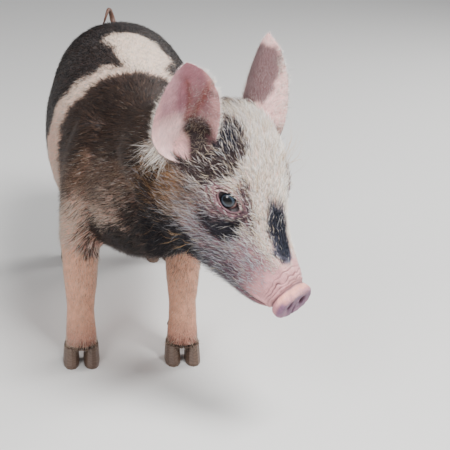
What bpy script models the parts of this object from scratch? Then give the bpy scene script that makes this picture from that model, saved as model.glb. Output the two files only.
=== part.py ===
"""A young spotted pig at life size, standing with its head lowered and turned to its left.

+X is forward along the trunk, +Y is the pig's left and +Z is up, in metres. The floor is z = 0.
"""

import math

import bmesh
import bpy
import numpy as np
from mathutils import Matrix, Vector
from mathutils.bvhtree import BVHTree

# Trunk, from the rump to the breast: x, height of the back, height of the belly, half width, side shift.
TRUNK = [
    (-0.243, 0.250, 0.198, 0.020, 0.000),
    (-0.235, 0.271, 0.172, 0.044, 0.000),
    (-0.212, 0.289, 0.152, 0.062, 0.000),
    (-0.172, 0.301, 0.134, 0.077, 0.000),
    (-0.120, 0.306, 0.118, 0.084, 0.000),
    (-0.060, 0.303, 0.106, 0.090, 0.001),
    (0.000, 0.296, 0.103, 0.089, 0.003),
    (0.055, 0.289, 0.108, 0.081, 0.006),
    (0.105, 0.286, 0.118, 0.073, 0.010),
    (0.148, 0.286, 0.130, 0.064, 0.016),
]
# Neck, on from the breast: centre x, y, z, half height, half width.
NECK = [
    (0.178, 0.027, 0.222, 0.070, 0.058),
    (0.206, 0.042, 0.238, 0.063, 0.053),
    (0.234, 0.058, 0.250, 0.052, 0.044),
]
# How full the trunk's cross section is, and how much narrower it is above.
TRUNK_FULL = 2.15
TRUNK_SKEW = -0.03
# Head frame: where it sits, and how far it is turned to the left and nodded down.
HEAD_AT = Vector((0.229, 0.036, 0.268))
HEAD_TURN = math.radians(47.0)
HEAD_NOD = math.radians(43.0)
# Head, in its own frame: x, top, bottom, half width, fullness, upper widening.
HEAD = [
    (-0.046, -0.004, -0.032, 0.022, 2.1, 0.00),
    (-0.026, 0.032, -0.046, 0.046, 2.2, 0.00),
    (-0.006, 0.060, -0.052, 0.0585, 2.4, 0.03),
    (0.014, 0.0745, -0.053, 0.0615, 2.6, 0.06),
    (0.036, 0.0775, -0.053, 0.0600, 2.7, 0.09),
    (0.060, 0.0720, -0.051, 0.0555, 2.7, 0.10),
    (0.080, 0.0625, -0.048, 0.0490, 2.7, 0.08),
    (0.100, 0.0495, -0.044, 0.0395, 2.5, 0.04),
    (0.120, 0.0385, -0.0400, 0.0315, 2.3, 0.00),
    (0.140, 0.0305, -0.0350, 0.0265, 2.2, 0.00),
    (0.156, 0.0240, -0.0270, 0.0236, 2.2, 0.00),
    (0.169, 0.0155, -0.0140, 0.0212, 2.2, 0.00),
]
HEAD_WIDEST = 0.42
# Snout disc: centre in the head frame, how far it is flipped up, half width, half height, thickness.
DISC_AT = Vector((0.1745, 0.0, 0.0018))
DISC_TILT = math.radians(-20.0)
DISC_WIDE = 0.0260
DISC_HIGH = 0.0150
DISC_THICK = 0.0118
# The disc from back to front: depth as a share of the thickness, size as a share of its outline.
DISC_PROFILE = [
    (-1.00, 0.60),
    (-0.60, 0.76),
    (-0.42, 0.92),
    (-0.15, 0.99),
    (0.15, 1.00),
    (0.36, 0.95),
    (0.48, 0.84),
    (0.47, 0.70),
    (0.40, 0.40),
]
NOSTRIL_AT = Vector((0.0046, 0.0095, 0.0006))
NOSTRIL_SIZE = (0.0080, 0.0036, 0.0046)
# Mouth line in the head frame, from the front of the lip back to the corner: x, z.
MOUTH = [(0.1596, -0.0128), (0.1500, -0.0165), (0.1350, -0.0200), (0.1180, -0.0215), (0.1020, -0.0170)]
LIP_GROOVE = 0.0015
# Orbits: a low swelling of the skull round each eye, centre in the head frame and radii.
ORBIT_AT = Vector((0.0730, 0.0310, 0.0350))
ORBIT_SIZE = (0.0240, 0.0170, 0.0175)
# Eyes in the head frame: the left one's centre, the way it looks, its opening and the way that runs.
EYE_AT = Vector((0.0762, 0.0358, 0.0386))
EYE_LOOK = Vector((0.30, 0.84, 0.45))
EYE_CORNERS = Vector((0.97, 0.0, 0.24))
EYE_RADIUS = 0.0108
EYE_RINGS = 10
LID_THICK = 0.0026
EYE_OPEN_LONG = 0.0195
EYE_OPEN_HIGH = 0.0138
# Ears: root in the head frame, lean out, lean forward, turn of the opening away from the heading.
EARS = {
    "right": (Vector((0.0225, -0.0655, 0.0575)), 0.26, 0.16, math.radians(42)),
    "left": (Vector((0.031, 0.054, 0.052)), -0.02, -0.12, math.radians(78)),
}
EAR_LONG = 0.110
EAR_SUNK = 0.024
EAR_HALF_WIDE = 0.0292
EAR_THICK = 0.0030
# From root to tip: shares of the length and of the width in front and behind, fold in degrees, funnel.
EAR_ROWS = [
    (0.00, 0.44, 0.20, 80, 1.00),
    (0.06, 0.56, 0.62, 80, 0.80),
    (0.16, 0.73, 0.93, 76, 0.48),
    (0.30, 0.92, 1.04, 70, 0.18),
    (0.47, 1.02, 0.96, 60, 0.04),
    (0.64, 0.97, 0.78, 50, 0.00),
    (0.80, 0.77, 0.54, 40, 0.00),
    (0.92, 0.45, 0.31, 30, 0.00),
    (1.00, 0.05, 0.05, 20, 0.00),
]
EAR_FUNNEL = 0.012
EAR_BEND = 0.010
# The hollow that the cup of the ear goes on into, in the skull: half sizes across, along the ear and forward.
EAR_PIT = (0.0170, 0.0200, 0.0170)
EAR_PIT_LOW = 0.010
EAR_PIT_OUT = 0.007
# Front legs: x, side, height, half width, reach forward, reach back.
FRONT_LEG = [
    (0.122, 0.034, 0.268, 0.018, 0.026, 0.034),
    (0.118, 0.041, 0.228, 0.026, 0.036, 0.044),
    (0.115, 0.047, 0.184, 0.0275, 0.037, 0.041),
    (0.110, 0.052, 0.148, 0.0245, 0.029, 0.033),
    (0.112, 0.053, 0.118, 0.0205, 0.0215, 0.0240),
    (0.116, 0.053, 0.088, 0.0185, 0.0185, 0.0185),
    (0.115, 0.053, 0.062, 0.0160, 0.0145, 0.0160),
    (0.117, 0.053, 0.043, 0.0165, 0.0150, 0.0165),
    (0.120, 0.053, 0.030, 0.0175, 0.0160, 0.0155),
    (0.123, 0.053, 0.018, 0.0170, 0.0165, 0.0145),
]
# Hind legs, in the same order.
HIND_LEG = [
    (-0.150, 0.038, 0.245, 0.034, 0.062, 0.070),
    (-0.148, 0.046, 0.205, 0.036, 0.062, 0.080),
    (-0.150, 0.051, 0.168, 0.032, 0.050, 0.068),
    (-0.160, 0.054, 0.134, 0.0250, 0.034, 0.047),
    (-0.178, 0.054, 0.104, 0.0190, 0.0205, 0.0220),
    (-0.183, 0.053, 0.084, 0.0170, 0.0165, 0.0180),
    (-0.178, 0.053, 0.060, 0.0152, 0.0140, 0.0150),
    (-0.174, 0.053, 0.043, 0.0160, 0.0145, 0.0160),
    (-0.170, 0.053, 0.030, 0.0172, 0.0155, 0.0152),
    (-0.166, 0.053, 0.018, 0.0168, 0.0160, 0.0142),
]
# Claws: how far apart the two of a foot stand, and the sole's half width and reach.
CLAW_APART = 0.0105
CLAW_WIDE = 0.0088
CLAW_REACH = 0.0205
CLAW_HEEL = 0.0150
CLAW_HIGH = 0.024
CLAW_NARROWS = 0.22
CLAW_WALL_SLOPE = 0.38
CLAW_SHIFT = 0.0025
CLAW_LEAN = 0.006
CORONET = 0.019
DEWCLAW_HIGH = 0.036
DEWCLAW_RADIUS = 0.0046
DEWCLAW_IN = 0.004
DEWCLAW_OUT = 0.008
DEWCLAW_DROP = 0.012
# Tail: one loose curl over the rump.
TAIL_ROOT = Vector((-0.230, 0.0, 0.270))
TAIL_IN = Vector((0.020, 0.0, -0.012))
TAIL_CURL_AT = Vector((-0.012, 0.002, 0.018))
TAIL_CURL = 0.0130
TAIL_DRIFT = 0.020
TAIL_TURNS = (-60, 330)
TAIL_THICK = 0.0058
TAIL_TIP = 0.0022

# The 0.3 mm that parts keep from each other, and how finely the body is surfaced.
GAP = 0.0003
SKIN_STEP = 0.0030
SKIN_TRIANGLES = 5600
# Where the lofts run into one another the skin is eased most: a point, and how far round it.
EASED = [
    ((0.116, -0.060, 0.185), 0.105),
    ((0.116, 0.060, 0.185), 0.105),
    ((-0.150, -0.055, 0.175), 0.105),
    ((-0.150, 0.055, 0.175), 0.105),
    ((0.150, 0.010, 0.180), 0.090),
]
POLL_AT = Vector((-0.02, 0.0, 0.0))
POLL_REACH = 0.100
EASE_ROUNDS = 50
SMOOTH_ROUNDS = 4

# Cuts between the parts: the legs' spaces, the snout, the head at the poll and the neck at the withers.
LEG_INNER = 0.004
LEG_MIDDLE = 0.053
LEG_OUTER = 0.13
LEG_CUT_SLOPE = 0.45
FRONT_CUT = [(0.050, -0.08), (0.058, 0.105), (0.080, 0.124), (0.150, 0.124), (0.180, 0.105), (0.190, -0.08)]
HIND_CUT = [
    (-0.270, -0.08),
    (-0.270, 0.150),
    (-0.210, 0.158),
    (-0.150, 0.146),
    (-0.104, 0.092),
    (-0.100, -0.08),
]
SNOUT_CUT = -0.0165
HEAD_CUT_AT = Vector((-0.004, 0.0, 0.020))
HEAD_CUT_TILT = math.radians(-25.0)
NECK_CUT_AT = Vector((0.152, 0.0, 0.215))
NECK_CUT_TILT = math.radians(-21.8)

# Base colour and roughness of each kind of part.
PALE = ((0.66, 0.54, 0.46, 1.0), 0.65)
LOOKS = {
    "torso": ((0.10, 0.085, 0.08, 1.0), 0.65),
    "tail": ((0.12, 0.10, 0.09, 1.0), 0.65),
    "neck": ((0.22, 0.16, 0.13, 1.0), 0.65),
    "ear": ((0.62, 0.36, 0.32, 1.0), 0.55),
    "leg": ((0.70, 0.48, 0.38, 1.0), 0.65),
    "snout": ((0.68, 0.38, 0.34, 1.0), 0.40),
    "hoof": ((0.24, 0.19, 0.15, 1.0), 0.50),
    "dewclaw": ((0.24, 0.19, 0.15, 1.0), 0.50),
    "eye": ((0.05, 0.07, 0.09, 1.0), 0.08),
}

SIDES = {"right": -1, "left": 1}


def head_matrix():
    """The head frame in the pig's: +X to the snout, +Y to the pig's left."""
    turn = Matrix.Rotation(HEAD_TURN, 4, "Z")
    nod = Matrix.Rotation(HEAD_NOD, 4, "Y")
    return Matrix.Translation(HEAD_AT) @ turn @ nod


def smooth_rows(rows, steps):
    """Catmull-Rom rows through the given ones, steps to a span."""
    rows = np.array(rows, float)
    ends = np.vstack([2 * rows[0] - rows[1], rows, 2 * rows[-1] - rows[-2]])
    out = []
    for before, a, b, after in zip(ends, ends[1:], ends[2:], ends[3:]):
        for t in np.arange(steps) / steps:
            out.append(
                0.5
                * (
                    2 * a
                    + (b - before) * t
                    + (2 * before - 5 * a + 4 * b - after) * t**2
                    + (3 * a - before - 3 * b + after) * t**3
                )
            )
    return np.array(out + [rows[-1]])


def link(name, mesh):
    piece = bpy.data.objects.new(name, mesh)
    bpy.context.scene.collection.objects.link(piece)
    return piece


def rings_to_object(name, rings):
    """A closed skin over rings of equally many points, each end closed by a fan."""
    count = len(rings[0])
    build = bmesh.new()
    grid = [[build.verts.new(point) for point in ring] for ring in rings]
    for near, far in zip(grid, grid[1:]):
        for j in range(count):
            build.faces.new((near[j], near[(j + 1) % count], far[(j + 1) % count], far[j]))
    for ring in (grid[0], grid[-1]):
        middle = build.verts.new(sum((v.co for v in ring), Vector()) / count)
        for j in range(count):
            build.faces.new((ring[j], ring[(j + 1) % count], middle))
    bmesh.ops.recalc_face_normals(build, faces=build.faces)
    mesh = bpy.data.meshes.new(name)
    build.to_mesh(mesh)
    build.free()
    return link(name, mesh)


def oval(centre, side, up, wide, high, low, full=2.0, skew=0.0, count=32):
    """Points of a superellipse whose upper and lower halves differ in height and width."""
    points = []
    for angle in np.arange(count) * 2 * math.pi / count:
        across, lift = math.cos(angle), math.sin(angle)
        across = math.copysign(abs(across) ** (2 / full), across) * wide * (1 + skew * lift)
        lift = math.copysign(abs(lift) ** (2 / full), lift) * (high if lift > 0 else low)
        points.append(Vector(centre) + Vector(side) * across + Vector(up) * lift)
    return points


def trunk_and_neck():
    rows = [(x, shift, (top + low) / 2, (top - low) / 2, wide) for x, top, low, wide, shift in TRUNK]
    rows = smooth_rows(rows + NECK, 4)
    centres = rows[:, :3]
    along = np.gradient(centres, axis=0)
    rings = []
    for centre, way, half_high, wide in zip(centres, along, rows[:, 3], rows[:, 4]):
        forward = Vector(way).normalized()
        side = Vector((0, 0, 1)).cross(forward).normalized()
        up = forward.cross(side)
        rings.append(oval(centre, side, up, wide, half_high, half_high, TRUNK_FULL, TRUNK_SKEW))
    return rings_to_object("trunk", rings)


def head():
    frame = head_matrix()
    rings = []
    for x, top, low, wide, full, skew in smooth_rows(HEAD, 4):
        middle = low + (top - low) * HEAD_WIDEST
        ring = oval((x, 0, middle), (0, 1, 0), (0, 0, 1), wide, top - middle, middle - low, full, skew, 36)
        rings.append([frame @ point for point in ring])
    return rings_to_object("head_core", rings)


def disc_frame():
    """The frame of the snout's disc: its X looks out of the disc's face."""
    return head_matrix() @ Matrix.Translation(DISC_AT) @ Matrix.Rotation(DISC_TILT, 4, "Y")


def snout_disc():
    """The round pad of the snout, with a rolled rim and a slightly hollow face."""
    frame = disc_frame()
    rings = []
    for depth, share in DISC_PROFILE:
        wide, high = DISC_WIDE * share, DISC_HIGH * share
        ring = oval((depth * DISC_THICK, 0, 0), (0, 1, 0), (0, 0, 1), wide, high, high, 2.2, -0.05, 28)
        rings.append([frame @ point for point in ring])
    return rings_to_object("disc", rings)


def leg(name, rows, side):
    rings = []
    for x, out, height, wide, front, back in smooth_rows(rows, 4):
        rings.append(oval((x, out * side, height), (0, 1, 0), (1, 0, 0), wide, front, back, 2.1, 0.0, 24))
    return rings_to_object(name, rings)


def ball(name, centre, radii, frame=Matrix.Identity(4), rings=16):
    build = bmesh.new()
    bmesh.ops.create_uvsphere(build, u_segments=2 * rings, v_segments=rings, radius=1.0)
    bmesh.ops.scale(build, vec=radii, verts=build.verts)
    bmesh.ops.transform(build, matrix=frame @ Matrix.Translation(Vector(centre)), verts=build.verts)
    mesh = bpy.data.meshes.new(name)
    build.to_mesh(mesh)
    build.free()
    return link(name, mesh)


def apply_modifiers(piece):
    graph = bpy.context.evaluated_depsgraph_get()
    mesh = bpy.data.meshes.new_from_object(piece.evaluated_get(graph), depsgraph=graph)
    piece.modifiers.clear()
    piece.data = mesh
    return piece


def combine(piece, others, operation="UNION", keep=False, solver="EXACT"):
    """Joins to the piece, or takes from it, a collection of closed objects."""
    group = bpy.data.collections.new("others")
    for other in others:
        group.objects.link(other)
    boolean = piece.modifiers.new("join", "BOOLEAN")
    boolean.operation = operation
    boolean.solver = solver
    boolean.operand_type = "COLLECTION"
    boolean.collection = group
    apply_modifiers(piece)
    bpy.data.collections.remove(group)
    if not keep:
        for other in others:
            bpy.data.objects.remove(other)
    return piece


def keep_largest(piece):
    """Drops every loose surface but the largest."""
    build = bmesh.new()
    build.from_mesh(piece.data)
    left = set(build.verts)
    islands = []
    while left:
        front = [left.pop()]
        island = set(front)
        while front:
            for edge in front.pop().link_edges:
                for vertex in edge.verts:
                    if vertex in left:
                        left.discard(vertex)
                        island.add(vertex)
                        front.append(vertex)
        islands.append(island)
    islands.sort(key=len)
    for island in islands[:-1]:
        bmesh.ops.delete(build, geom=list(island), context="VERTS")
    build.to_mesh(piece.data)
    build.free()
    return piece


def near(points, centre, reach):
    """1 at the centre, easing to 0 at the reach."""
    share = np.clip(1 - np.linalg.norm(points - np.array(centre), axis=1) / reach, 0, 1)
    return share * share * (3 - 2 * share)


def points_of(piece):
    points = np.empty(len(piece.data.vertices) * 3, np.float32)
    piece.data.vertices.foreach_get("co", points)
    return points.reshape(-1, 3)


def weigh(piece, name, weights):
    group = piece.vertex_groups.new(name=name)
    for step in range(21):
        chosen = np.nonzero(np.round(weights * 20) == step)[0]
        if step and len(chosen):
            group.add(chosen.tolist(), step / 20, "REPLACE")
    return group


def surface_body(piece):
    """Fuses the lofts into one skin, eases it where the limbs and neck run in, and thins its triangles."""
    remesh = piece.modifiers.new("skin", "REMESH")
    remesh.mode = "VOXEL"
    remesh.voxel_size = SKIN_STEP
    apply_modifiers(piece)
    points = points_of(piece)
    ease = near(points, head_matrix() @ POLL_AT, POLL_REACH)
    for centre, reach in EASED:
        ease = np.maximum(ease, near(points, centre, reach))
    weigh(piece, "ease", ease)
    for name, group, rounds in (("joints", "ease", EASE_ROUNDS), ("all over", "", SMOOTH_ROUNDS)):
        smooth = piece.modifiers.new(name, "SMOOTH")
        smooth.vertex_group = group
        smooth.factor = 0.5
        smooth.iterations = rounds
    apply_modifiers(piece)
    triangles = sum(len(polygon.vertices) - 2 for polygon in piece.data.polygons)
    thin = piece.modifiers.new("thin", "DECIMATE")
    thin.ratio = SKIN_TRIANGLES / triangles
    apply_modifiers(piece)
    piece.vertex_groups.clear()
    return piece


def ear_axes(side, root, lean_out, lean_forward, face_turn):
    """Where an ear stands: its root, and the ways across it, along it to the tip and out of its opening."""
    heading = Vector((math.cos(HEAD_TURN), math.sin(HEAD_TURN), 0))
    outward = Vector((-heading.y, heading.x, 0)) * side
    axis = (Vector((0, 0, 1)) + outward * lean_out + heading * lean_forward).normalized()
    opening = heading * math.cos(face_turn) + outward * math.sin(face_turn)
    opening = (opening - axis * opening.dot(axis)).normalized()
    return head_matrix() @ root, axis.cross(opening) * side, axis, opening


def inward_of(side):
    """From the side of the head in to its middle."""
    return head_matrix().to_3x3() @ Vector((0, -side, 0))


def ear(name, side, stance):
    """A cupped leaf of cartilage: a funnel at the root that opens out and flattens to the tip."""
    root, across, axis, opening = ear_axes(side, *stance)
    profile = smooth_rows(EAR_ROWS, 2)
    columns = 10
    middle = np.zeros((len(profile), columns + 1, 3))
    for i, (along, front, rear, fold, funnel) in enumerate(profile):
        fold = math.radians(fold)
        start = root + axis * (EAR_LONG * along - EAR_SUNK) + opening * (EAR_BEND * along * along)
        start += inward_of(side) * (EAR_FUNNEL * funnel)
        for j in range(columns + 1):
            turn = fold * (2 * j / columns - 1)
            wide = EAR_HALF_WIDE * (front if turn < 0 else rear)
            deep = EAR_HALF_WIDE * (front + rear) / 2
            sideways = wide * math.sin(turn) / math.sin(fold)
            back = deep * (math.cos(turn) - math.cos(fold)) / math.sin(fold)
            middle[i, j] = start + across * sideways - opening * back
    step_long = np.gradient(middle, axis=0)
    step_wide = np.gradient(middle, axis=1)
    normal = np.cross(step_long, step_wide)
    normal /= np.linalg.norm(normal, axis=2, keepdims=True)
    edge = np.abs(np.linspace(-1, 1, columns + 1))[None, :, None]
    tip = profile[:, 0][:, None, None]
    half = EAR_THICK / 2 * (1 - 0.35 * edge**3) * (1 - 0.45 * tip**3)
    return shell(name, middle + normal * half, middle - normal * half)


def ear_pit(side, stance):
    """The hollow in the skull at the bottom of an ear's cup."""
    root, across, axis, opening = ear_axes(side, *stance)
    frame = Matrix((across, axis, opening)).transposed().to_4x4()
    frame.translation = root - axis * EAR_PIT_LOW + inward_of(side) * EAR_FUNNEL / 2
    frame.translation += opening * EAR_PIT_OUT
    return ball("pit", (0, 0, 0), EAR_PIT, frame, 8)


def shell(name, front, back):
    """A closed sheet between two grids of points, split into triangles alike on both faces."""
    build = bmesh.new()
    grids = [[[build.verts.new(point) for point in row] for row in grid] for grid in (front, back)]
    rows, columns = len(front), len(front[0])

    def square(a, b, c, d):
        build.faces.new((a, b, c))
        build.faces.new((a, c, d))

    for grid in grids:
        for i in range(rows - 1):
            for j in range(columns - 1):
                square(grid[i][j], grid[i + 1][j], grid[i + 1][j + 1], grid[i][j + 1])
    rim = [(0, j) for j in range(columns)] + [(i, columns - 1) for i in range(1, rows)]
    rim += [(rows - 1, j) for j in range(columns - 2, -1, -1)] + [(i, 0) for i in range(rows - 2, 0, -1)]
    for (i, j), (k, m) in zip(rim, rim[1:] + rim[:1]):
        square(grids[0][i][j], grids[0][k][m], grids[1][k][m], grids[1][i][j])
    bmesh.ops.recalc_face_normals(build, faces=build.faces)
    mesh = bpy.data.meshes.new(name)
    build.to_mesh(mesh)
    build.free()
    return link(name, mesh)


def tube(name, path, radii, count=10):
    """A round tube of changing radius along a path."""
    path = np.array([tuple(point) for point in path])
    ways = np.gradient(path, axis=0)
    side = Vector((0, 1, 0))
    rings = []
    for point, way, radius in zip(path, ways, radii):
        forward = Vector(way).normalized()
        side = (side - forward * side.dot(forward)).normalized()
        rings.append(oval(point, side, forward.cross(side), radius, radius, radius, 2.0, 0.0, count))
    return rings_to_object(name, rings)


def tail():
    """It rises from the rump and makes one curl, drifting to the side so that it clears itself."""
    centre = TAIL_ROOT + TAIL_CURL_AT
    path = [TAIL_ROOT + TAIL_IN, TAIL_ROOT]
    turns = np.radians(np.linspace(*TAIL_TURNS, 22))
    for share, turn in zip(np.linspace(0, 1, len(turns)), turns):
        radius = TAIL_CURL * (1 - 0.30 * share)
        curl = Vector((-0.9 * radius * math.sin(turn), -TAIL_DRIFT * share, -radius * math.cos(turn)))
        path.append(centre + curl)
    radii = [TAIL_THICK] * 2 + list(np.linspace(TAIL_THICK, TAIL_TIP, len(turns)))
    return tube("tail", path, radii, 8)


def claw(x, y):
    """One claw: a horn wedge with a flat sole, its front wall sloping."""
    rings = []
    for share, sole in ((0.0, 0.94), (0.12, 1.0), (1.0, 1.0)):
        shrink = (1 - CLAW_NARROWS * share) * sole
        reach = CLAW_REACH * (1 - CLAW_WALL_SLOPE * share) * sole
        centre = (x + CLAW_SHIFT - CLAW_LEAN * share, y, CLAW_HIGH * share)
        wide, heel = CLAW_WIDE * shrink, CLAW_HEEL * shrink
        rings.append(oval(centre, (0, 1, 0), (1, 0, 0), wide, reach, heel, 2.3, 0.0, 12))
    return rings_to_object("claw", rings)


def dewclaw(name, x, y, heel):
    """A small claw behind the pastern, pointing down and back."""
    start = Vector((x - DEWCLAW_IN, y, DEWCLAW_HIGH + DEWCLAW_IN))
    end = Vector((x - DEWCLAW_IN - heel - DEWCLAW_OUT, y, DEWCLAW_HIGH - DEWCLAW_DROP))
    path = [start.lerp(end, t) for t in (0.0, 0.6, 0.9, 1.0)]
    radii = [DEWCLAW_RADIUS * r for r in (1.0, 0.95, 0.55, 0.2)]
    return tube(name, path, radii, 8)


def box(name, low, high, matrix=Matrix.Identity(4)):
    build = bmesh.new()
    bmesh.ops.create_cube(build, size=1.0)
    size = Vector(high) - Vector(low)
    bmesh.ops.scale(build, vec=size, verts=build.verts)
    bmesh.ops.translate(build, vec=Vector(low) + size / 2, verts=build.verts)
    bmesh.ops.transform(build, matrix=matrix, verts=build.verts)
    mesh = bpy.data.meshes.new(name)
    build.to_mesh(mesh)
    build.free()
    return link(name, mesh)


def part_off(whole, name, cutter):
    """Takes the piece inside a cutter out of the whole, leaving a thin gap, and returns it."""
    piece = link(name, whole.data.copy())
    combine(piece, [cutter(0.0)], "INTERSECT")
    combine(whole, [cutter(GAP)], "DIFFERENCE")
    keep_largest(piece)
    keep_largest(whole)
    return piece


def block(low, high, matrix=Matrix.Identity(4)):
    """A cutter: a box in a frame of its own."""
    return lambda grow: box("block", [v - grow for v in low], [v + grow for v in high], matrix)


def below_joint(side, outline):
    """A cutter: the space of one leg, an outline seen from the side, whose top rises outwards."""
    middle = sum(x for x, z in outline) / len(outline)

    def cutter(grow):
        rings = []
        for out in (LEG_INNER - grow, LEG_OUTER + grow):
            lift = LEG_CUT_SLOPE * (out - LEG_MIDDLE) + 1.3 * grow
            corners = [(x + math.copysign(grow, x - middle), z + lift) for x, z in outline]
            rings.append([Vector((x, out * side, z)) for x, z in corners])
        return rings_to_object("leg_space", rings)

    return cutter


def grown(piece, by):
    """A copy of a body, a little larger all round."""
    copy = link("grown", piece.data.copy())
    swell = copy.modifiers.new("swell", "DISPLACE")
    swell.strength = by
    swell.mid_level = 0.0
    return apply_modifiers(copy)


def rooted(piece, guard):
    """Trims a piece where it would sink into the body, so that it meets the skin face to face."""
    combine(piece, [guard], "DIFFERENCE", keep=True)
    return keep_largest(piece)


def paint(piece, name, colour, roughness=0.6):
    material = bpy.data.materials.get(name) or bpy.data.materials.new(name)
    material.use_nodes = True
    shader = material.node_tree.nodes["Principled BSDF"]
    shader.inputs["Base Color"].default_value = colour
    shader.inputs["Roughness"].default_value = roughness
    piece.data.materials.clear()
    piece.data.materials.append(material)
    piece.data.shade_smooth()
    piece.data.set_sharp_from_angle(angle=math.radians(35))


def eye_frame(side):
    """Where an eye sits: its Z looks out of the head and its X runs to the inner corner."""
    centre = Vector((EYE_AT.x, EYE_AT.y * side, EYE_AT.z))
    look = Vector((EYE_LOOK.x, EYE_LOOK.y * side, EYE_LOOK.z)).normalized()
    along = EYE_CORNERS - look * EYE_CORNERS.dot(look)
    along.normalize()
    local = Matrix((along, look.cross(along), look)).transposed().to_4x4()
    return head_matrix() @ Matrix.Translation(centre) @ local


def lid_opening(side):
    """An almond-shaped block that opens the lids from corner to corner."""
    frame = eye_frame(side)
    half_long, half_high = EYE_OPEN_LONG / 2, EYE_OPEN_HIGH / 2
    across = np.cos(np.linspace(0, 2 * math.pi, 20, endpoint=False))
    sign = np.sign(np.sin(np.linspace(0, 2 * math.pi, 20, endpoint=False)))
    high = sign * (1 - across**2) ** 0.75 * half_high
    depths = (0.35 * EYE_RADIUS, 2.2 * EYE_RADIUS)
    rings = [[frame @ Vector((x * half_long, y, depth)) for x, y in zip(across, high)] for depth in depths]
    return rings_to_object("opening", rings)


def mouth_groove(body, side):
    """A half-round groove along the lips of one side, from the front back to the corner of the mouth."""
    frame = head_matrix()
    tree = BVHTree.FromObject(body, bpy.context.evaluated_depsgraph_get())
    way = frame.to_3x3() @ Vector((0, -side, 0))
    hits = [tree.ray_cast(frame @ Vector((x, 0.12 * side, z)), way)[0] for x, z in smooth_rows(MOUTH, 5)]
    path = [point for point in hits if point is not None]
    radii = [LIP_GROOVE * min(1, 0.45 + 0.25 * min(i, len(path) - 1 - i)) for i in range(len(path))]
    return tube("groove", path, radii, 8)


def part_body(body):
    """Parts the fused body with thin cuts into torso, neck, head, snout, legs and hooves."""
    nodes = {}
    for side_name, side in SIDES.items():
        for place, rows, space in (("front", FRONT_LEG, FRONT_CUT), ("hind", HIND_LEG, HIND_CUT)):
            limb = part_off(body, f"leg_{place}_{side_name}", below_joint(side, space))
            foot_x, foot_y = rows[-1][0], rows[-1][1] * side
            for where, out in (("outer", side), ("inner", -side)):
                low_y, high_y = sorted((foot_y, foot_y + 0.05 * out))
                claw_space = block((foot_x - 0.05, low_y, -0.01), (foot_x + 0.05, high_y, CORONET))
                hoof = part_off(limb, f"hoof_{place}_{side_name}_{where}", claw_space)
                nodes[hoof.name] = hoof
            nodes[limb.name] = limb
    snout = part_off(body, "snout", block((SNOUT_CUT, -0.04, -0.04), (0.03, 0.04, 0.04), disc_frame()))
    poll = head_matrix() @ Matrix.Translation(HEAD_CUT_AT) @ Matrix.Rotation(HEAD_CUT_TILT, 4, "Y")
    skull = part_off(body, "head", block((0, -0.12, -0.15), (0.30, 0.12, 0.15), poll))
    withers = Matrix.Translation(NECK_CUT_AT) @ Matrix.Rotation(NECK_CUT_TILT, 4, "Y")
    neck = part_off(body, "neck", block((0, -0.2, -0.2), (0.4, 0.3, 0.2), withers))
    body.name = "torso"
    for piece in (snout, skull, neck, body):
        nodes[piece.name] = piece
    return nodes


def settle(nodes):
    """Moves every node so that the whole stands on the floor, centred on the origin. Returns the shift."""
    corners = np.concatenate([points_of(piece) for piece in nodes.values()])
    low, high = corners.min(axis=0), corners.max(axis=0)
    shift = Vector((-(low[0] + high[0]) / 2, -(low[1] + high[1]) / 2, -low[2]))
    for piece in nodes.values():
        piece.data.transform(Matrix.Translation(shift))
    return shift


def colour_of(name):
    for start, look in LOOKS.items():
        if name.startswith(start):
            return look
    return PALE


def build():
    for old in list(bpy.data.objects):
        bpy.data.objects.remove(old)
    frame = head_matrix()

    body = trunk_and_neck()
    limbs = [leg("limb", rows, side) for rows in (FRONT_LEG, HIND_LEG) for side in SIDES.values()]
    for side in SIDES.values():
        limbs.append(ball("orbit", (ORBIT_AT.x, ORBIT_AT.y * side, ORBIT_AT.z), ORBIT_SIZE, frame, 12))
    combine(body, limbs + [head()])
    surface_body(body)

    extras = [snout_disc()]
    for side in SIDES.values():
        extras.append(ball("lids", (0, 0, 0), [EYE_RADIUS + LID_THICK] * 3, eye_frame(side), EYE_RINGS))
        for rows in (FRONT_LEG, HIND_LEG):
            for apart in (-CLAW_APART, CLAW_APART):
                extras.append(claw(rows[-1][0], rows[-1][1] * side + apart))
    combine(body, extras)
    keep_largest(body)

    guard = grown(body, GAP)
    nodes = {}
    for side_name, side in SIDES.items():
        name = f"ear_{side_name}"
        nodes[name] = rooted(ear(name, side, EARS[side_name]), guard)
        for place, rows in (("front", FRONT_LEG), ("hind", HIND_LEG)):
            for where, out in (("outer", side), ("inner", -side)):
                name = f"dewclaw_{place}_{side_name}_{where}"
                at = (rows[-2][0], rows[-1][1] * side + CLAW_APART * out, rows[-2][5])
                nodes[name] = rooted(dewclaw(name, *at), guard)
    nodes["tail"] = rooted(tail(), guard)
    bpy.data.objects.remove(guard)

    cutters = []
    for side_name, side in SIDES.items():
        cutters.append(mouth_groove(body, side))
        cutters.append(ear_pit(side, EARS[side_name]))
        nostril = (NOSTRIL_AT.x, NOSTRIL_AT.y * side, NOSTRIL_AT.z)
        cutters.append(ball("nostril", nostril, NOSTRIL_SIZE, disc_frame(), 6))
        cutters.append(ball("socket", (0, 0, 0), [EYE_RADIUS + GAP] * 3, eye_frame(side), EYE_RINGS))
    combine(body, cutters, "DIFFERENCE")
    combine(body, [lid_opening(side) for side in SIDES.values()], "DIFFERENCE")
    keep_largest(body)
    for side_name, side in SIDES.items():
        name = f"eye_{side_name}"
        nodes[name] = ball(name, (0, 0, 0), [EYE_RADIUS] * 3, eye_frame(side), EYE_RINGS)

    nodes.update(part_body(body))
    shift = settle(nodes)
    for name, piece in nodes.items():
        paint(piece, name, *colour_of(name))
    return shift


if __name__ == "__main__":
    build()
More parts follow.
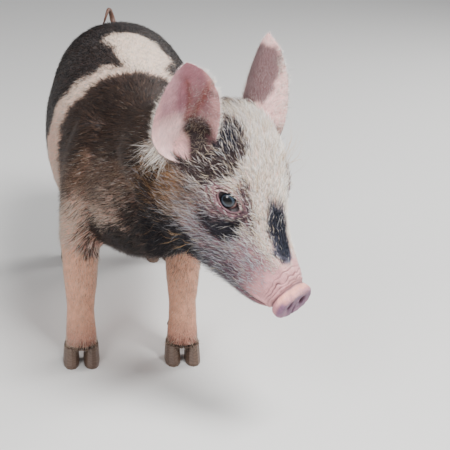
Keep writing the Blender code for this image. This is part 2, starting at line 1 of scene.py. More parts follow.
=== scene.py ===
"""Looks of a young spotted pig: one skin over all its flesh, a coat of joined tufts, eyes and horn.

Everything is in metres in the model's frame: +X forward along the trunk, +Y the pig's left, +Z up.
"""

import math

import bmesh
import bpy
import numpy as np
from mathutils import Matrix, Vector
from mathutils.bvhtree import BVHTree


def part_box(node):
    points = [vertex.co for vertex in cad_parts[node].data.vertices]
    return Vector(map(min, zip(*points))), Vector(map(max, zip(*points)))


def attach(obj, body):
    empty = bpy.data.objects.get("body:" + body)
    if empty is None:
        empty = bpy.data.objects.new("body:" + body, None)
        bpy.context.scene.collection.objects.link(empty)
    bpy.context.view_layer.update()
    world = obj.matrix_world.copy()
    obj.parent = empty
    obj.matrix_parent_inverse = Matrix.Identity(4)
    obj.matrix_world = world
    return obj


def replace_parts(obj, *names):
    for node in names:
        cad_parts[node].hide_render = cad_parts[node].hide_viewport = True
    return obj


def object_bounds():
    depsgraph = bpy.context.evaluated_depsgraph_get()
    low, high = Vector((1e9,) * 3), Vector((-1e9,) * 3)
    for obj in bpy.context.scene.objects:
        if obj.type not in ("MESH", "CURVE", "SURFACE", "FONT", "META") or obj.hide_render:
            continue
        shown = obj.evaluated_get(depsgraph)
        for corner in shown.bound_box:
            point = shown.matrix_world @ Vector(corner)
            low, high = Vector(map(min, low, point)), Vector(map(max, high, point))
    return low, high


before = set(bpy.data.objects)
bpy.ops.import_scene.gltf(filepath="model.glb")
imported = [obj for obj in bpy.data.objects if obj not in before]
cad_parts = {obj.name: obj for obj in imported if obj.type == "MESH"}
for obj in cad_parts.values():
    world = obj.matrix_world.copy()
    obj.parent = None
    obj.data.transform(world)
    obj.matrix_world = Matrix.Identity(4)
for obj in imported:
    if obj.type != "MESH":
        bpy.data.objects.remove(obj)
CAD_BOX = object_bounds()
INSIDE_BOX = 0.0001

# Sizes that the solids were built from: the head's frame, the disc, the eyes and the ears.
HEAD_AT = np.array([0.229, 0.036, 0.268])
HEAD_TURN = math.radians(47.0)
HEAD_NOD = math.radians(43.0)
DISC_AT = np.array([0.1745, 0.0, 0.0018])
DISC_TILT = math.radians(-20.0)
HEAD_AXIS_UP = 0.005
MOUTH = [(0.1640, -0.0112), (0.1500, -0.0165), (0.1350, -0.0200), (0.1180, -0.0215), (0.1020, -0.0170)]
EYE_AT = np.array([0.0762, 0.0358, 0.0386])
EYE_LOOK = np.array([0.30, 0.84, 0.45])
EYE_CORNERS = np.array([0.97, 0.0, 0.24])
EYE_RADIUS = 0.0108
EYE_HALF_LONG = 0.00975
EYE_HALF_HIGH = 0.0069
EARS = {
    "right": ((0.0225, -0.0655, 0.0575), 0.26, 0.16, math.radians(42)),
    "left": ((0.031, 0.054, 0.052), -0.02, -0.12, math.radians(78)),
}
EAR_LONG = 0.110
EAR_SUNK = 0.024
SIDES = {"right": -1, "left": 1}

# The skin: how finely it is meshed, and how far its copies of the solids are swollen so that they fuse.
SKIN_STEP = 0.0016
SWELL = 0.00035

# Camera: the photograph's direction, roll, distance and framing, aimed at a point of the solids' own space.
CAMERA_TURN = math.radians(7.8)
CAMERA_RISE = math.radians(20.4)
CAMERA_ROLL = math.radians(2.0)
CAMERA_FAR = 1.10
CAMERA_AIM = np.array([0.350, 0.063, 0.235])
FOCAL_SHARE = 1312 / 450


def rgb(red, green, blue):
    """A colour of 0 to 255 values, as linear light."""
    shade = np.array([red, green, blue]) / 255
    return np.where(shade <= 0.04045, shade / 12.92, ((shade + 0.055) / 1.055) ** 2.4)


FLESH = rgb(206, 156, 136)
PINK = rgb(204, 142, 140)
CREAM = rgb(224, 200, 180)
TAN = rgb(150, 100, 72)
BROWN = rgb(74, 52, 44)
DARK = rgb(36, 30, 30)
INK = rgb(36, 38, 50)
MAUVE = rgb(138, 98, 104)
# Under the head: darker mauve skin, partly painted shade.
JAW = rgb(116, 90, 98)
RED_BROWN = rgb(126, 66, 60)
BLAZE = rgb(220, 184, 172)
MUZZLE = rgb(208, 150, 152)
LOWER_LIP = rgb(92, 62, 74)
# Painted shade in the ear's canal and the hollow at its root.
CANAL_PAINTED_SHADE = rgb(40, 26, 28)

WHITE_HAIR = rgb(240, 235, 230)
CREAM_HAIR = rgb(230, 212, 188)
SILVER_HAIR = rgb(206, 206, 214)
TAN_HAIR = rgb(178, 136, 98)
DARK_HAIR = rgb(34, 29, 30)
BROWN_HAIR = rgb(96, 74, 62)
SLATE_HAIR = rgb(50, 52, 66)
UMBER_HAIR = rgb(104, 76, 58)


def unit(v):
    v = np.asarray(v, float)
    return v / np.maximum(np.linalg.norm(v, axis=-1, keepdims=True), 1e-12)


def turn_z(angle):
    return np.array(Matrix.Rotation(angle, 3, "Z"))


def turn_y(angle):
    return np.array(Matrix.Rotation(angle, 3, "Y"))


HEAD_TO_BODY = turn_z(HEAD_TURN) @ turn_y(HEAD_NOD)
RIGHT_EYE = HEAD_AT + HEAD_TO_BODY @ (EYE_AT * (1, -1, 1))
low_corner, high_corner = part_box("eye_right")
SHIFT = (np.array(low_corner) + np.array(high_corner)) / 2 - RIGHT_EYE


def to_design(points):
    """From the model's frame to the space that the solids were drawn in."""
    return points - SHIFT


def to_head(points):
    return (points - SHIFT - HEAD_AT) @ HEAD_TO_BODY


def from_head(points):
    return np.asarray(points) @ HEAD_TO_BODY.T + HEAD_AT + SHIFT


def to_disc(points):
    return (to_head(points) - DISC_AT) @ turn_y(DISC_TILT)


def eye_axes(side):
    """Columns: to the inner corner, up the lids, and out along the look, in the model's frame."""
    look = unit(EYE_LOOK * (1, side, 1))
    along = unit(EYE_CORNERS - look * (EYE_CORNERS @ look))
    up = np.cross(look, along) * -side
    return HEAD_TO_BODY @ np.stack([along, up, look], axis=1)


def eye_centre(side):
    return from_head(EYE_AT * (1, side, 1))


def to_eye(points, side):
    return (points - eye_centre(side)) @ eye_axes(side)


def ear_axes(side_name):
    """Root, and columns: across to the rear rim, along to the tip, out of the opening."""
    side = SIDES[side_name]
    root, lean_out, lean_forward, face_turn = EARS[side_name]
    heading = np.array([math.cos(HEAD_TURN), math.sin(HEAD_TURN), 0])
    outward = np.array([-heading[1], heading[0], 0]) * side
    axis = unit(np.array([0, 0, 1]) + outward * lean_out + heading * lean_forward)
    opening = heading * math.cos(face_turn) + outward * math.sin(face_turn)
    opening = unit(opening - axis * (opening @ axis))
    return from_head(root), np.stack([np.cross(axis, opening) * side, axis, opening], axis=1)


def to_ear(points, side_name):
    root, axes = ear_axes(side_name)
    local = (points - root) @ axes
    local[:, 1] = (local[:, 1] + EAR_SUNK) / EAR_LONG
    return local


def lattice(cells, seed):
    """A value of -1 to 1 for each whole-numbered cell, the same each run."""
    cells = cells.astype(np.int64)
    mixed = cells[:, 0] * 73856093 ^ cells[:, 1] * 19349663 ^ cells[:, 2] * 83492791 ^ (seed * 2654435761)
    mixed = (mixed ^ (mixed >> 13)) * 1274126177 & 0xFFFFFFFF
    mixed = (mixed ^ (mixed >> 16)) & 0xFFFFFF
    return mixed / 0x7FFFFF - 1.0


def noise(points, size, seed=0):
    """Smooth value noise of -1 to 1, whose lumps are the given size across."""
    spot = np.asarray(points) / size
    cell = np.floor(spot)
    part = spot - cell
    part = part * part * (3 - 2 * part)
    total = np.zeros(len(spot))
    for corner in range(8):
        step = np.array([corner & 1, corner >> 1 & 1, corner >> 2 & 1])
        share = np.prod(np.where(step, part, 1 - part), axis=1)
        total += share * lattice(cell + step, seed)
    return total


def rough(points, *layers):
    """Noise of several sizes together: each layer is a height, the size of its lumps and a seed."""
    return sum(height * noise(points, size, seed) for height, size, seed in layers)


def ease(low, high, values):
    """0 below the low value and 1 above the high one, smooth between, whichever is greater."""
    share = np.clip((values - low) / (high - low), 0, 1)
    return share * share * (3 - 2 * share)


def hump(values, middle, width):
    """1 at the middle, falling off smoothly to either side."""
    return np.exp(-(((values - middle) / width) ** 2))


def length_of(vectors):
    return np.linalg.norm(vectors, axis=1)


def face_turn(points):
    """How far round the head each point is from its top, to either side."""
    head = to_head(points)
    return np.abs(np.arctan2(head[:, 1], head[:, 2] - HEAD_AXIS_UP))


def mix(base, other, share):
    return base + (other - base) * share[:, None]


def blend(base, other, share):
    """For each share, one colour mixed into another."""
    return mix(np.tile(base, (len(share), 1)), other, share)


def paint(colour, *layers):
    """Mixes shades into a colour one after another: each layer is a shade and its share at each point."""
    for shade, share in layers:
        colour = mix(colour, shade, share)
    return colour


def outline_share(flat, outline, soft, ragged=0.0):
    """1 inside a drawn outline and 0 outside, with an edge of the given softness, all in metres."""
    corners = np.array(outline, float)
    nearest = np.full(len(flat), 9.0)
    inside = np.zeros(len(flat), bool)
    for start, end in zip(corners, np.roll(corners, -1, axis=0)):
        way = end - start
        share = np.clip((flat - start) @ way / (way @ way), 0, 1)
        nearest = np.minimum(nearest, length_of(flat - start - share[:, None] * way))
        spans = (start[1] > flat[:, 1]) != (end[1] > flat[:, 1])
        rise = way[1] if abs(way[1]) > 1e-9 else 1e-9
        inside ^= spans & (flat[:, 0] < start[0] + (flat[:, 1] - start[1]) * way[0] / rise)
    gap = np.where(inside, -nearest, nearest)
    return ease(soft, -soft, gap + ragged)


def link(name, data):
    piece = bpy.data.objects.new(name, data)
    bpy.context.scene.collection.objects.link(piece)
    return piece


def write_out(build, mesh):
    build.to_mesh(mesh)
    build.free()
    return mesh


def apply_modifiers(piece):
    graph = bpy.context.evaluated_depsgraph_get()
    mesh = bpy.data.meshes.new_from_object(piece.evaluated_get(graph), depsgraph=graph)
    piece.modifiers.clear()
    piece.data = mesh
    return piece


def read(items, name, width, kind=np.float32):
    """One property of all the items of a mesh, a row for each item."""
    values = np.empty(len(items) * width, kind)
    items.foreach_get(name, values)
    return values.reshape(-1, width)


def points_of(mesh):
    return read(mesh.vertices, "co", 3).astype(float)


def normals_of(mesh):
    return read(mesh.vertices, "normal", 3).astype(float)


def edges_of(mesh):
    return read(mesh.edges, "vertices", 2, np.int32)


def place(mesh, points):
    mesh.vertices.foreach_set("co", points.astype(np.float32).ravel())
    mesh.update()


def diffuse(values, edges, rounds):
    """Evens out values over the mesh, each time half way to the mean of a vertex's neighbours."""
    values = np.asarray(values, float)
    flat = values.ndim == 1
    if flat:
        values = values[:, None]
    count = len(values)
    degree = np.bincount(edges.ravel(), minlength=count)[:, None]
    for _ in range(rounds):
        total = np.empty_like(values)
        for column in range(values.shape[1]):
            total[:, column] = np.bincount(edges[:, 0], values[edges[:, 1], column], count)
            total[:, column] += np.bincount(edges[:, 1], values[edges[:, 0], column], count)
        values = 0.5 * values + 0.5 * total / np.maximum(degree, 1)
    return values[:, 0] if flat else values


FLESH_NODES = ["torso", "neck", "head", "snout", "tail", "ear_right", "ear_left"]
FLESH_NODES += [f"leg_{place_name}_{side}" for place_name in ("front", "hind") for side in SIDES]
TORSO, NECK, HEAD, SNOUT, TAIL, EAR_R, EAR_L, LEG = range(8)
FACE, TRUNK = (HEAD, SNOUT), (TORSO, NECK)
EAR_REGIONS = {"right": EAR_R, "left": EAR_L}


def fused_skin():
    """One closed skin round the flesh nodes, with the nearest node of each of its points."""
    build = bmesh.new()
    owners = []
    for number, name in enumerate(FLESH_NODES):
        copy = link("copy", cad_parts[name].data.copy())
        weld = copy.modifiers.new("weld", "WELD")
        weld.merge_threshold = 0.00001
        swell = copy.modifiers.new("swell", "DISPLACE")
        swell.strength = SWELL
        swell.mid_level = 0.0
        apply_modifiers(copy)
        build.from_mesh(copy.data)
        bpy.data.objects.remove(copy)
        owners += [min(number, LEG)] * (len(build.faces) - len(owners))
    build.faces.ensure_lookup_table()
    tree = BVHTree.FromBMesh(build)
    skin = link("skin", write_out(build, bpy.data.meshes.new("skin")))
    remesh = skin.modifiers.new("fuse", "REMESH")
    remesh.mode = "VOXEL"
    remesh.voxel_size = SKIN_STEP
    apply_modifiers(skin)
    keep_largest(skin.data)
    owners = np.array(owners)
    region = np.array([owners[tree.find_nearest(vertex.co)[2]] for vertex in skin.data.vertices])
    return skin, region


def keep_largest(mesh):
    """Drops every loose surface but the largest."""
    edges = edges_of(mesh)
    label = np.arange(len(mesh.vertices))
    while True:
        lowest = label.copy()
        np.minimum.at(lowest, edges[:, 0], label[edges[:, 1]])
        np.minimum.at(lowest, edges[:, 1], label[edges[:, 0]])
        lowest = lowest[lowest]
        if np.array_equal(lowest, label):
            break
        label = lowest
    main = np.bincount(label).argmax()
    if (label == main).all():
        return
    build = bmesh.new()
    build.from_mesh(mesh)
    build.verts.ensure_lookup_table()
    loose = [build.verts[i] for i in np.nonzero(label != main)[0]]
    bmesh.ops.delete(build, geom=loose, context="VERTS")
    write_out(build, mesh)


# Depth of the coat over the skin of each region, in the order of the regions.
COAT_DEPTH = np.array([0.0022, 0.0022, 0.0012, 0.0000, 0.0006, 0.0003, 0.0003, 0.0013])


def coat_depth(points, region):
    """How far the skin lies inside the solids."""
    depth = COAT_DEPTH[region]
    head = to_head(points)
    bare = ease(0.120, 0.150, head[:, 0]) * (region == HEAD)
    depth = depth * (1 - bare)
    for side in SIDES.values():
        eye = to_eye(points, side)
        depth = depth * ease(0.014, 0.024, length_of(eye))
    return depth


# Heights and depths of what is sculpted into the skin, the lids' place over the ball, and the nostrils.
LID_HEIGHT, LID_CREASE = 0.0009, 0.0013
LID_BEHIND, LID_CLEAR, LID_THICK = 0.0012, 0.0003, 0.0011
LIP_HEIGHT, MOUTH_DEPTH = 0.0011, 0.0017
FOLD_HEIGHT, FOLD_SPACING = 0.00042, 0.0029
RIM_CREASE, PHILTRUM_DEPTH, HOLLOW_DEPTH = 0.0013, 0.0009, 0.0022
NOSTRIL_OUT, NOSTRIL_UP, NOSTRIL_HALF_WIDE, NOSTRIL_HALF_HIGH = 0.0095, 0.0006, 0.0042, 0.0052
# How far round the eyes, the disc and the corners of the mouth the mesh is made finer.
EYE_FINE, DISC_FINE, MOUTH_FINE = 0.0205, 0.031, 0.026

# Courses of the ear's channels and of the ridge between them: shares of its length, and mm across it.
CHANNEL_ONE = ([0.30, 0.36, 0.51, 0.67, 0.85], [-7, -9, -14, -19, -22])
CHANNEL_TWO = ([0.20, 0.36, 0.51, 0.70, 0.85], [-1, -4, -6, -3, 0])
RIDGE = ([0.10, 0.30, 0.45, 0.60, 0.85], [4, 2, 3, 6, 8])


def eye_gap(points, side):
    """Metres outside the opening between the lids, less than 0 inside it; and the eye's own coordinates."""
    eye = to_eye(points, side)
    across = eye[:, 0] + 0.0006
    up = eye[:, 1] + 0.10 * across
    high = np.where(up > 0, EYE_HALF_HIGH * 0.66, EYE_HALF_HIGH * 0.86)
    reach = EYE_HALF_LONG * np.where(across > 0, 1.16, 1.02)
    away = (np.abs(across / reach) ** 1.8 + np.abs(up / high) ** 1.8) ** 0.555
    return (away - 1) * (EYE_HALF_LONG + EYE_HALF_HIGH) / 2, eye


def eye_folds(points, side):
    """Height of an eye's lids and creases along the normal, and how deep in a crease each point is."""
    away, eye = eye_gap(points, side)
    away = away + 0.0005 * noise(points, 0.006, 11)
    above = ease(-0.004, 0.004, eye[:, 1] + 0.15 * eye[:, 0])
    facing = ease(0.0, 0.004, eye[:, 2]) * ease(0.030, 0.022, length_of(eye))

    def ridge(middle, width):
        return hump(away, middle, width)

    lid_bulge = 0.9 * ridge(0.0018, 0.0014)
    hooded = lid_bulge + 1.2 * ridge(0.0058, 0.0020) + 0.6 * ridge(0.0100, 0.0018)
    hooded_crease = ridge(0.0036, 0.0006) + 0.7 * ridge(0.0083, 0.0006) + 0.4 * ridge(0.0120, 0.0007)
    pouch = 0.8 * lid_bulge + 1.5 * ridge(0.0064, 0.0026)
    pouch_crease = 0.7 * ridge(0.0031, 0.0005) + 1.0 * ridge(0.0104, 0.0010)
    crease = (above * hooded_crease + (1 - above) * pouch_crease) * facing
    bulk = (above * hooded + (1 - above) * pouch) * facing
    return LID_HEIGHT * bulk - LID_CREASE * crease, crease


def open_lids(points, region):
    """Parts the lids: skin inside the opening goes in behind the ball, and the rest stands in front of it."""
    for side in SIDES.values():
        away, eye = eye_gap(points, side)
        far = length_of(eye)
        near = (eye[:, 2] > 0.001) & (far < 0.019) & np.isin(region, FACE)
        inside = near & (away < 0)
        rim = near & (away >= 0) & (away < 0.004)
        goal = np.where(inside, EYE_RADIUS - LID_BEHIND - 0.12 * np.maximum(-away, 0), far)
        lid = EYE_RADIUS + LID_CLEAR + LID_THICK * ease(0.0, 0.0009, away)
        goal = np.where(rim, np.maximum(far, lid), goal)
        goal = np.where(inside & (far < goal), far, goal)
        eye = eye * (goal / np.maximum(far, 1e-6))[:, None]
        points = np.where(near[:, None], eye @ eye_axes(side).T + eye_centre(side), points)
    return points


def refine(mesh, region):
    """Halves the mesh twice round the eyes, the snout and the mouth, for crisp lids, creases and lips."""
    eyes = [(Vector(eye_centre(side)), EYE_FINE) for side in SIDES.values()]
    muzzle = [(Vector(from_head(DISC_AT + (-0.006, 0, 0.006))), DISC_FINE)]
    muzzle += [(Vector(from_head((0.138, 0.020 * side, -0.018))), MOUTH_FINE) for side in SIDES.values()]
    for finer in (0.0, 0.002):
        build = bmesh.new()
        build.from_mesh(mesh)
        layer = build.verts.layers.int.new("region")
        build.verts.ensure_lookup_table()
        for vertex, number in zip(build.verts, region):
            vertex[layer] = int(number) + 1
        spots = eyes + muzzle
        middles = [(face, face.calc_center_median()) for face in build.faces]
        faces = [face for face, at in middles if any((at - c).length < r - finer for c, r in spots)]
        edges = list({edge for face in faces for edge in face.edges})
        bmesh.ops.subdivide_edges(build, edges=edges, cuts=1, use_grid_fill=True)
        build.to_mesh(mesh)
        region = np.array([vertex[layer] for vertex in build.verts]) - 1
        build.free()
        region = np.where(region < 0, HEAD, region)
        disc = to_disc(points_of(mesh))
        region = np.where((disc[:, 0] > -0.004) & (region == HEAD), SNOUT, region)
        mesh.attributes.remove(mesh.attributes["region"])
    return region


def mouth_height(points, head, region):
    """The groove between the lips with a roll of lip each side, and how deep in the groove each point is."""
    line = np.array(MOUTH)
    nearest = np.full(len(points), 1.0)
    over = np.zeros(len(points))
    flat = head[:, [0, 2]]
    for start, end in zip(line, line[1:]):
        way = end - start
        share = np.clip((flat - start) @ way / (way @ way), 0, 1)
        gap = flat - (start + share[:, None] * way)
        distance = length_of(gap)
        closer = distance < nearest
        nearest = np.where(closer, distance, nearest)
        over = np.where(closer, gap[:, 1], over)
    side = ease(0.004, 0.012, np.abs(head[:, 1])) * np.isin(region, FACE)
    groove = hump(nearest, 0, 0.0012) * side
    lips = hump(nearest, 0.0036, 0.0018) * np.where(over > 0, 1.0, 0.7) * side
    return LIP_HEIGHT * lips - MOUTH_DEPTH * groove, groove


def round_disc(disc):
    """How far round the disc each point is from its top, to either side."""
    return np.abs(np.arctan2(disc[:, 1], disc[:, 2] + 0.004))


def disc_seam(disc):
    """How far each point lies in front of the line where the disc's rolled rim meets the muzzle."""
    return disc[:, 0] + 0.0034 + 0.0036 * ease(0.3, 1.6, round_disc(disc))


def snout_folds(points, region):
    """Height of the crumpled skin behind the disc and of the disc's face, and the depth of its creases."""
    disc = to_disc(points)
    around = round_disc(disc)
    muzzle = np.isin(region, FACE)
    along = disc_seam(disc)
    behind = ease(-0.0135, -0.0075, along + 0.0022 * noise(points, 0.012, 2)) * ease(-0.0008, -0.0022, along)
    upper = ease(2.1, 1.2, around) * behind * muzzle
    wave = along + 0.0017 * noise(points, 0.009, 3) + 0.0010 * noise(points, 0.0035, 4)
    phase = np.sin(wave * 2 * math.pi / FOLD_SPACING)
    patchy = np.clip(0.72 + 0.70 * noise(points, 0.006, 9), 0, 1.25)
    folds = FOLD_HEIGHT * phase * upper * patchy
    crease = ease(-0.15, -0.85, phase) * upper * patchy
    rim_crease = hump(along + 0.0004 * noise(points, 0.004, 8), 0, 0.0011)
    rim_crease = rim_crease * ease(2.5, 1.7, around) * muzzle
    folds = folds - RIM_CREASE * rim_crease
    crease = np.maximum(crease, rim_crease)
    plate = ease(0.001, 0.003, disc[:, 0]) * (region == SNOUT)
    philtrum = hump(disc[:, 1], 0, 0.0011) * plate * ease(0.003, -0.004, disc[:, 2])
    bumpy = rough(points, (0.0003, 0.0035, 5), (0.0002, 0.0016, 6))
    nostrils = 0
    for side in SIDES.values():
        across = (disc[:, 1] - NOSTRIL_OUT * side) / NOSTRIL_HALF_WIDE
        away = np.hypot(across, (disc[:, 2] - NOSTRIL_UP) / NOSTRIL_HALF_HIGH)
        nostrils = nostrils + np.exp(-(away**4))
    nostrils = nostrils * ease(-0.001, 0.001, disc[:, 0]) * (region == SNOUT)
    folds = folds - PHILTRUM_DEPTH * philtrum + bumpy * plate
    return folds, np.maximum(np.maximum(crease, philtrum * 0.8), nostrils)


def concha_share(points, side_name):
    """1 in the hollow at the root of an ear's cup, in front of the ear's own sheet."""
    ear = to_ear(points, side_name)
    round_hollow = ((ear[:, 0] + 0.006) / 0.0185) ** 2 + ((ear[:, 1] - 0.175) * EAR_LONG / 0.0155) ** 2
    return np.exp(-(round_hollow**3)) * ease(-0.030, -0.022, ear[:, 2]) * ease(0.002, -0.003, ear[:, 2])


def ear_folds(points, normals, region, side_name):
    """Long ridges of cartilage inside the cup and the grooves between them."""
    ear = to_ear(points, side_name)
    _, axes = ear_axes(side_name)
    inner = ease(0.0, 0.4, normals @ axes[:, 2]) * (region == EAR_REGIONS[side_name])
    reach = ease(0.14, 0.32, ear[:, 1]) * ease(0.92, 0.70, ear[:, 1]) * inner
    across = ear[:, 0] * 1000 + 1.2 * noise(points, 0.010, 57)
    height = np.zeros(len(points))
    for line, width, depth in ((CHANNEL_ONE, 2.6, -1.3), (CHANNEL_TWO, 2.2, -1.1), (RIDGE, 2.6, 1.2)):
        middle = np.interp(ear[:, 1], *line)
        height += depth * hump(across, middle, width)
    return 0.001 * height * reach


def sculpt(skin, region):
    """Draws the skin in under the coat and adds what the solids leave out."""
    mesh = skin.data
    edges = edges_of(mesh)
    points = points_of(mesh)
    calm = np.ones(len(points))
    for side in SIDES.values():
        calm *= ease(0.011, 0.019, length_of(to_eye(points, side)))
    calm *= np.where(np.isin(region, (SNOUT, EAR_R, EAR_L)), 0.3, 1)
    for _ in range(8):
        points += 0.9 * calm[:, None] * (diffuse(points, edges, 1) - points)
    for _ in range(3):
        points += 0.5 * (diffuse(points, edges, 1) - points)
    place(mesh, points)
    depth = diffuse(coat_depth(points, region), edges, 24) + SWELL
    hollow = sum(concha_share(points, name) * (region == HEAD) for name in SIDES)
    depth += HOLLOW_DEPTH * diffuse(hollow, edges, 4)
    points -= normals_of(mesh) * depth[:, None]
    place(mesh, points)
    region = refine(mesh, region)
    points = open_lids(points_of(mesh), region)
    place(mesh, points)
    normals = normals_of(mesh)
    head = to_head(points)
    height = sum(eye_folds(points, side)[0] for side in SIDES.values())
    height += mouth_height(points, head, region)[0]
    height += snout_folds(points, region)[0]
    height += sum(ear_folds(points, normals, region, name) for name in SIDES)
    height += np.isin(region, (*TRUNK, LEG)) * rough(points, (0.0006, 0.022, 21), (0.0003, 0.008, 22))
    points += normals * height[:, None]
    place(mesh, points)
    return region


def unwrap(points, region):
    """Each point's place on a flat plan of the body: metres along and round its part, and the part's cell."""
    design = to_design(points)
    head = to_head(points)
    along = design[:, 0].copy()
    middle = np.interp(design[:, 0], [-0.24, 0.10, 0.15, 0.20, 0.25], [0.0, 0.01, 0.016, 0.038, 0.062])
    height = np.interp(design[:, 0], [-0.24, 0.0, 0.15, 0.25], [0.21, 0.20, 0.21, 0.25])
    round_angle = np.arctan2(design[:, 1] - middle, design[:, 2] - height)
    radius = np.full(len(points), 0.08)
    faces = np.isin(region, FACE)
    along = np.where(faces, head[:, 0], along)
    round_angle = np.where(faces, np.arctan2(head[:, 1], head[:, 2] - HEAD_AXIS_UP), round_angle)
    radius = np.where(faces, 0.045, radius)
    legs = region == LEG
    foot_x = np.where(design[:, 0] > 0, 0.116, -0.170)
    foot_y = np.where(design[:, 1] > 0, 0.053, -0.053)
    along = np.where(legs, design[:, 2], along)
    round_angle = np.where(legs, np.arctan2(design[:, 1] - foot_y, design[:, 0] - foot_x), round_angle)
    radius = np.where(legs, 0.02, radius)
    across = round_angle * radius
    cell = region.astype(float)
    for side_name, number in EAR_REGIONS.items():
        ears = region == number
        ear = to_ear(points, side_name)
        along = np.where(ears, ear[:, 1] * EAR_LONG, along)
        across = np.where(ears, ear[:, 0] + ear[:, 2], across)
    cell = np.where(legs, LEG + (design[:, 0] > 0) + 2 * (design[:, 1] > 0), cell)
    return along, across, cell


def lie_of(points, normals, region):
    """The coat's lie: back and down the trunk, up from the snout, down the legs and out along the ears."""
    design = to_design(points)
    head = to_head(points)
    out = np.clip((design[:, 1] - np.interp(design[:, 0], [0.10, 0.25], [0.0, 0.06])) / 0.05, -1, 1)
    way = np.stack([np.full(len(points), -0.75), 0.55 * out, np.full(len(points), -0.55)], axis=1)
    face_out = np.clip(head[:, 1] / 0.04, -1, 1)
    face = np.stack([np.full(len(points), -1.0), 0.30 * face_out, -0.25 * np.abs(face_out)], axis=1)
    face[:, 2] -= 0.5 * ease(0.0, -0.04, head[:, 2])
    faces = np.isin(region, FACE)
    way = np.where(faces[:, None], face @ HEAD_TO_BODY.T, way)
    down = np.array([-0.25, 0.0, -1.0]) + 0 * points
    way = np.where((region == LEG)[:, None], down, way)
    hanging = ease(0.16, 0.10, design[:, 2])[:, None] * (region == TORSO)[:, None] * 0.6
    way = way * (1 - hanging) + down * hanging
    for side_name, number in EAR_REGIONS.items():
        _, axes = ear_axes(side_name)
        ear = to_ear(points, side_name)
        reach = axes[:, 1] + axes[:, 0] * np.clip(ear[:, 0] / 0.02, -1, 1)[:, None] * 0.5
        way = np.where((region == number)[:, None], reach, way)
    swirl = 0.35 * noise(points, 0.03, 31)[:, None]
    way = way + np.cross(normals, way) * swirl
    way = way - normals * np.sum(way * normals, axis=1, keepdims=True)
    return unit(way)


# Outline of the pale saddle from above: millimetres forward and to the left.
SADDLE = [(-78, -19), (-92, -7), (-88, 13), (-79, 29), (-64, 41), (-39, 48), (-3, 46), (26, 36), (30, 4),
          (10, -4), (-20, -10), (-50, -17)]


def body_marks(points):
    """Shares of rump black, pale saddle, shoulder black, dark throat and the brown below the shoulder."""
    design = to_design(points)
    x, y, z = design.T
    ragged = rough(points, (0.009, 0.018, 41), (0.006, 0.006, 42), (0.003, 0.002, 43))
    rear_edge = np.interp(z, [0.10, 0.17, 0.22, 0.27, 0.30], [-0.060, -0.034, -0.010, 0.016, 0.020])
    rump = ease(0.010, -0.010, x - rear_edge + ragged)
    saddle = outline_share(design[:, :2], np.array(SADDLE) * 0.001, 0.006, 0.6 * ragged) * (z > 0.2)
    rump = rump * (1 - saddle)
    rump = rump * ease(0.105, 0.135, z + ragged + 0.10 * ease(-0.05, -0.20, x))
    front_edge = np.interp(z, [0.15, 0.19, 0.22, 0.24, 0.26, 0.275, 0.29],
                           [0.064, 0.060, 0.051, 0.046, 0.050, 0.050, 0.038])
    shoulder = ease(-0.007, 0.007, x - front_edge + 0.6 * ragged)
    fade = np.interp(x, [0.03, 0.064, 0.083, 0.138, 0.164, 0.186, 0.236],
                     [0.185, 0.192, 0.206, 0.229, 0.240, 0.248, 0.256])
    brown = shoulder * ease(-0.072, -0.018, z - fade + 1.4 * ragged)
    shoulder = shoulder * ease(-0.014, 0.012, z - fade + 1.5 * ragged)
    middle = np.interp(x, [0.10, 0.25], [0.0, 0.06])
    top = np.interp(x, [0.10, 0.18, 0.22, 0.26, 0.30], [0.150, 0.186, 0.214, 0.246, 0.252])
    throat = ease(0.115, 0.150, x + 0.5 * ragged) * ease(0.076, 0.056, np.abs(y - middle) + ragged)
    throat = throat * ease(0.012, -0.012, z - top + 1.2 * ragged)
    return rump, saddle, shoulder, throat, brown


# Outlines of the face's marks, and of the painted shade under the jaw, on the jowl, under the eye's pouch and
# on the lower cheek, on the chart of the head: millimetres forward, and degrees round it from the top, less
# than 0 on the pig's right. Each has the skin's colour, the hair's, its softness and its strength.
BROW = [(17, -16), (25, -10), (37, -11), (48, -12), (57, -17), (62, -26), (67, -32), (66, -41), (63, -50),
        (55, -57), (45, -63), (33, -66), (26, -60), (31, -48), (29, -38), (24, -28)]
BROW_CORE = [(21, -20), (28, -14), (38, -16), (47, -20), (49, -30), (40, -37), (29, -34)]
CRESCENT = [(67, -74), (78, -87), (90, -91), (102, -85), (106, -66), (101, -48), (94, -45), (92, -54),
            (86, -64), (80, -71), (72, -71)]
# Painted shade under the pouch below the eye.
POUCH_PAINTED_SHADE = [(72, -65), (81, -57), (90, -49), (97, -44), (101, -50), (92, -62), (84, -72), (74, -74)]
TEMPLE = [(45, -62), (60, -53), (70, -58), (74, -68), (70, -78), (56, -80), (44, -76)]
CORNER = [(73, -32), (82, -29), (93, -31), (107, -36), (112, -46), (103, -53), (95, -51), (86, -43),
          (78, -38)]
NAPE = [(-30, -6), (-2, -12), (10, -22), (17, -36), (21, -50), (18, -64), (-30, -64)]
BRIDGE = [(101, -11), (99, 3), (107, 19), (120, 19), (134, 10), (146, 2), (152, -8), (146, -28), (136, -34),
          (122, -27), (110, -20)]
BRIDGE_CORE = [(103, -4), (104, 8), (113, 16), (125, 14), (139, 4), (146, -6), (142, -20), (129, -22),
               (114, -14)]
# Dark brown hair behind the cheek, and painted shadow where the outline runs on under the jaw.
CHEEK_DARK_AND_SHADOW = [(-20, -62), (10, -66), (22, -80), (31, -98), (42, -116), (60, -130), (60, -200), (-20, -200)]
# Umber-brown skin and hair on the lower cheek, partly painted shade.
CHEEK_LOW_UMBER_AND_SHADE = [(14, -88), (40, -92), (56, -104), (64, -124), (60, -200), (10, -200)]
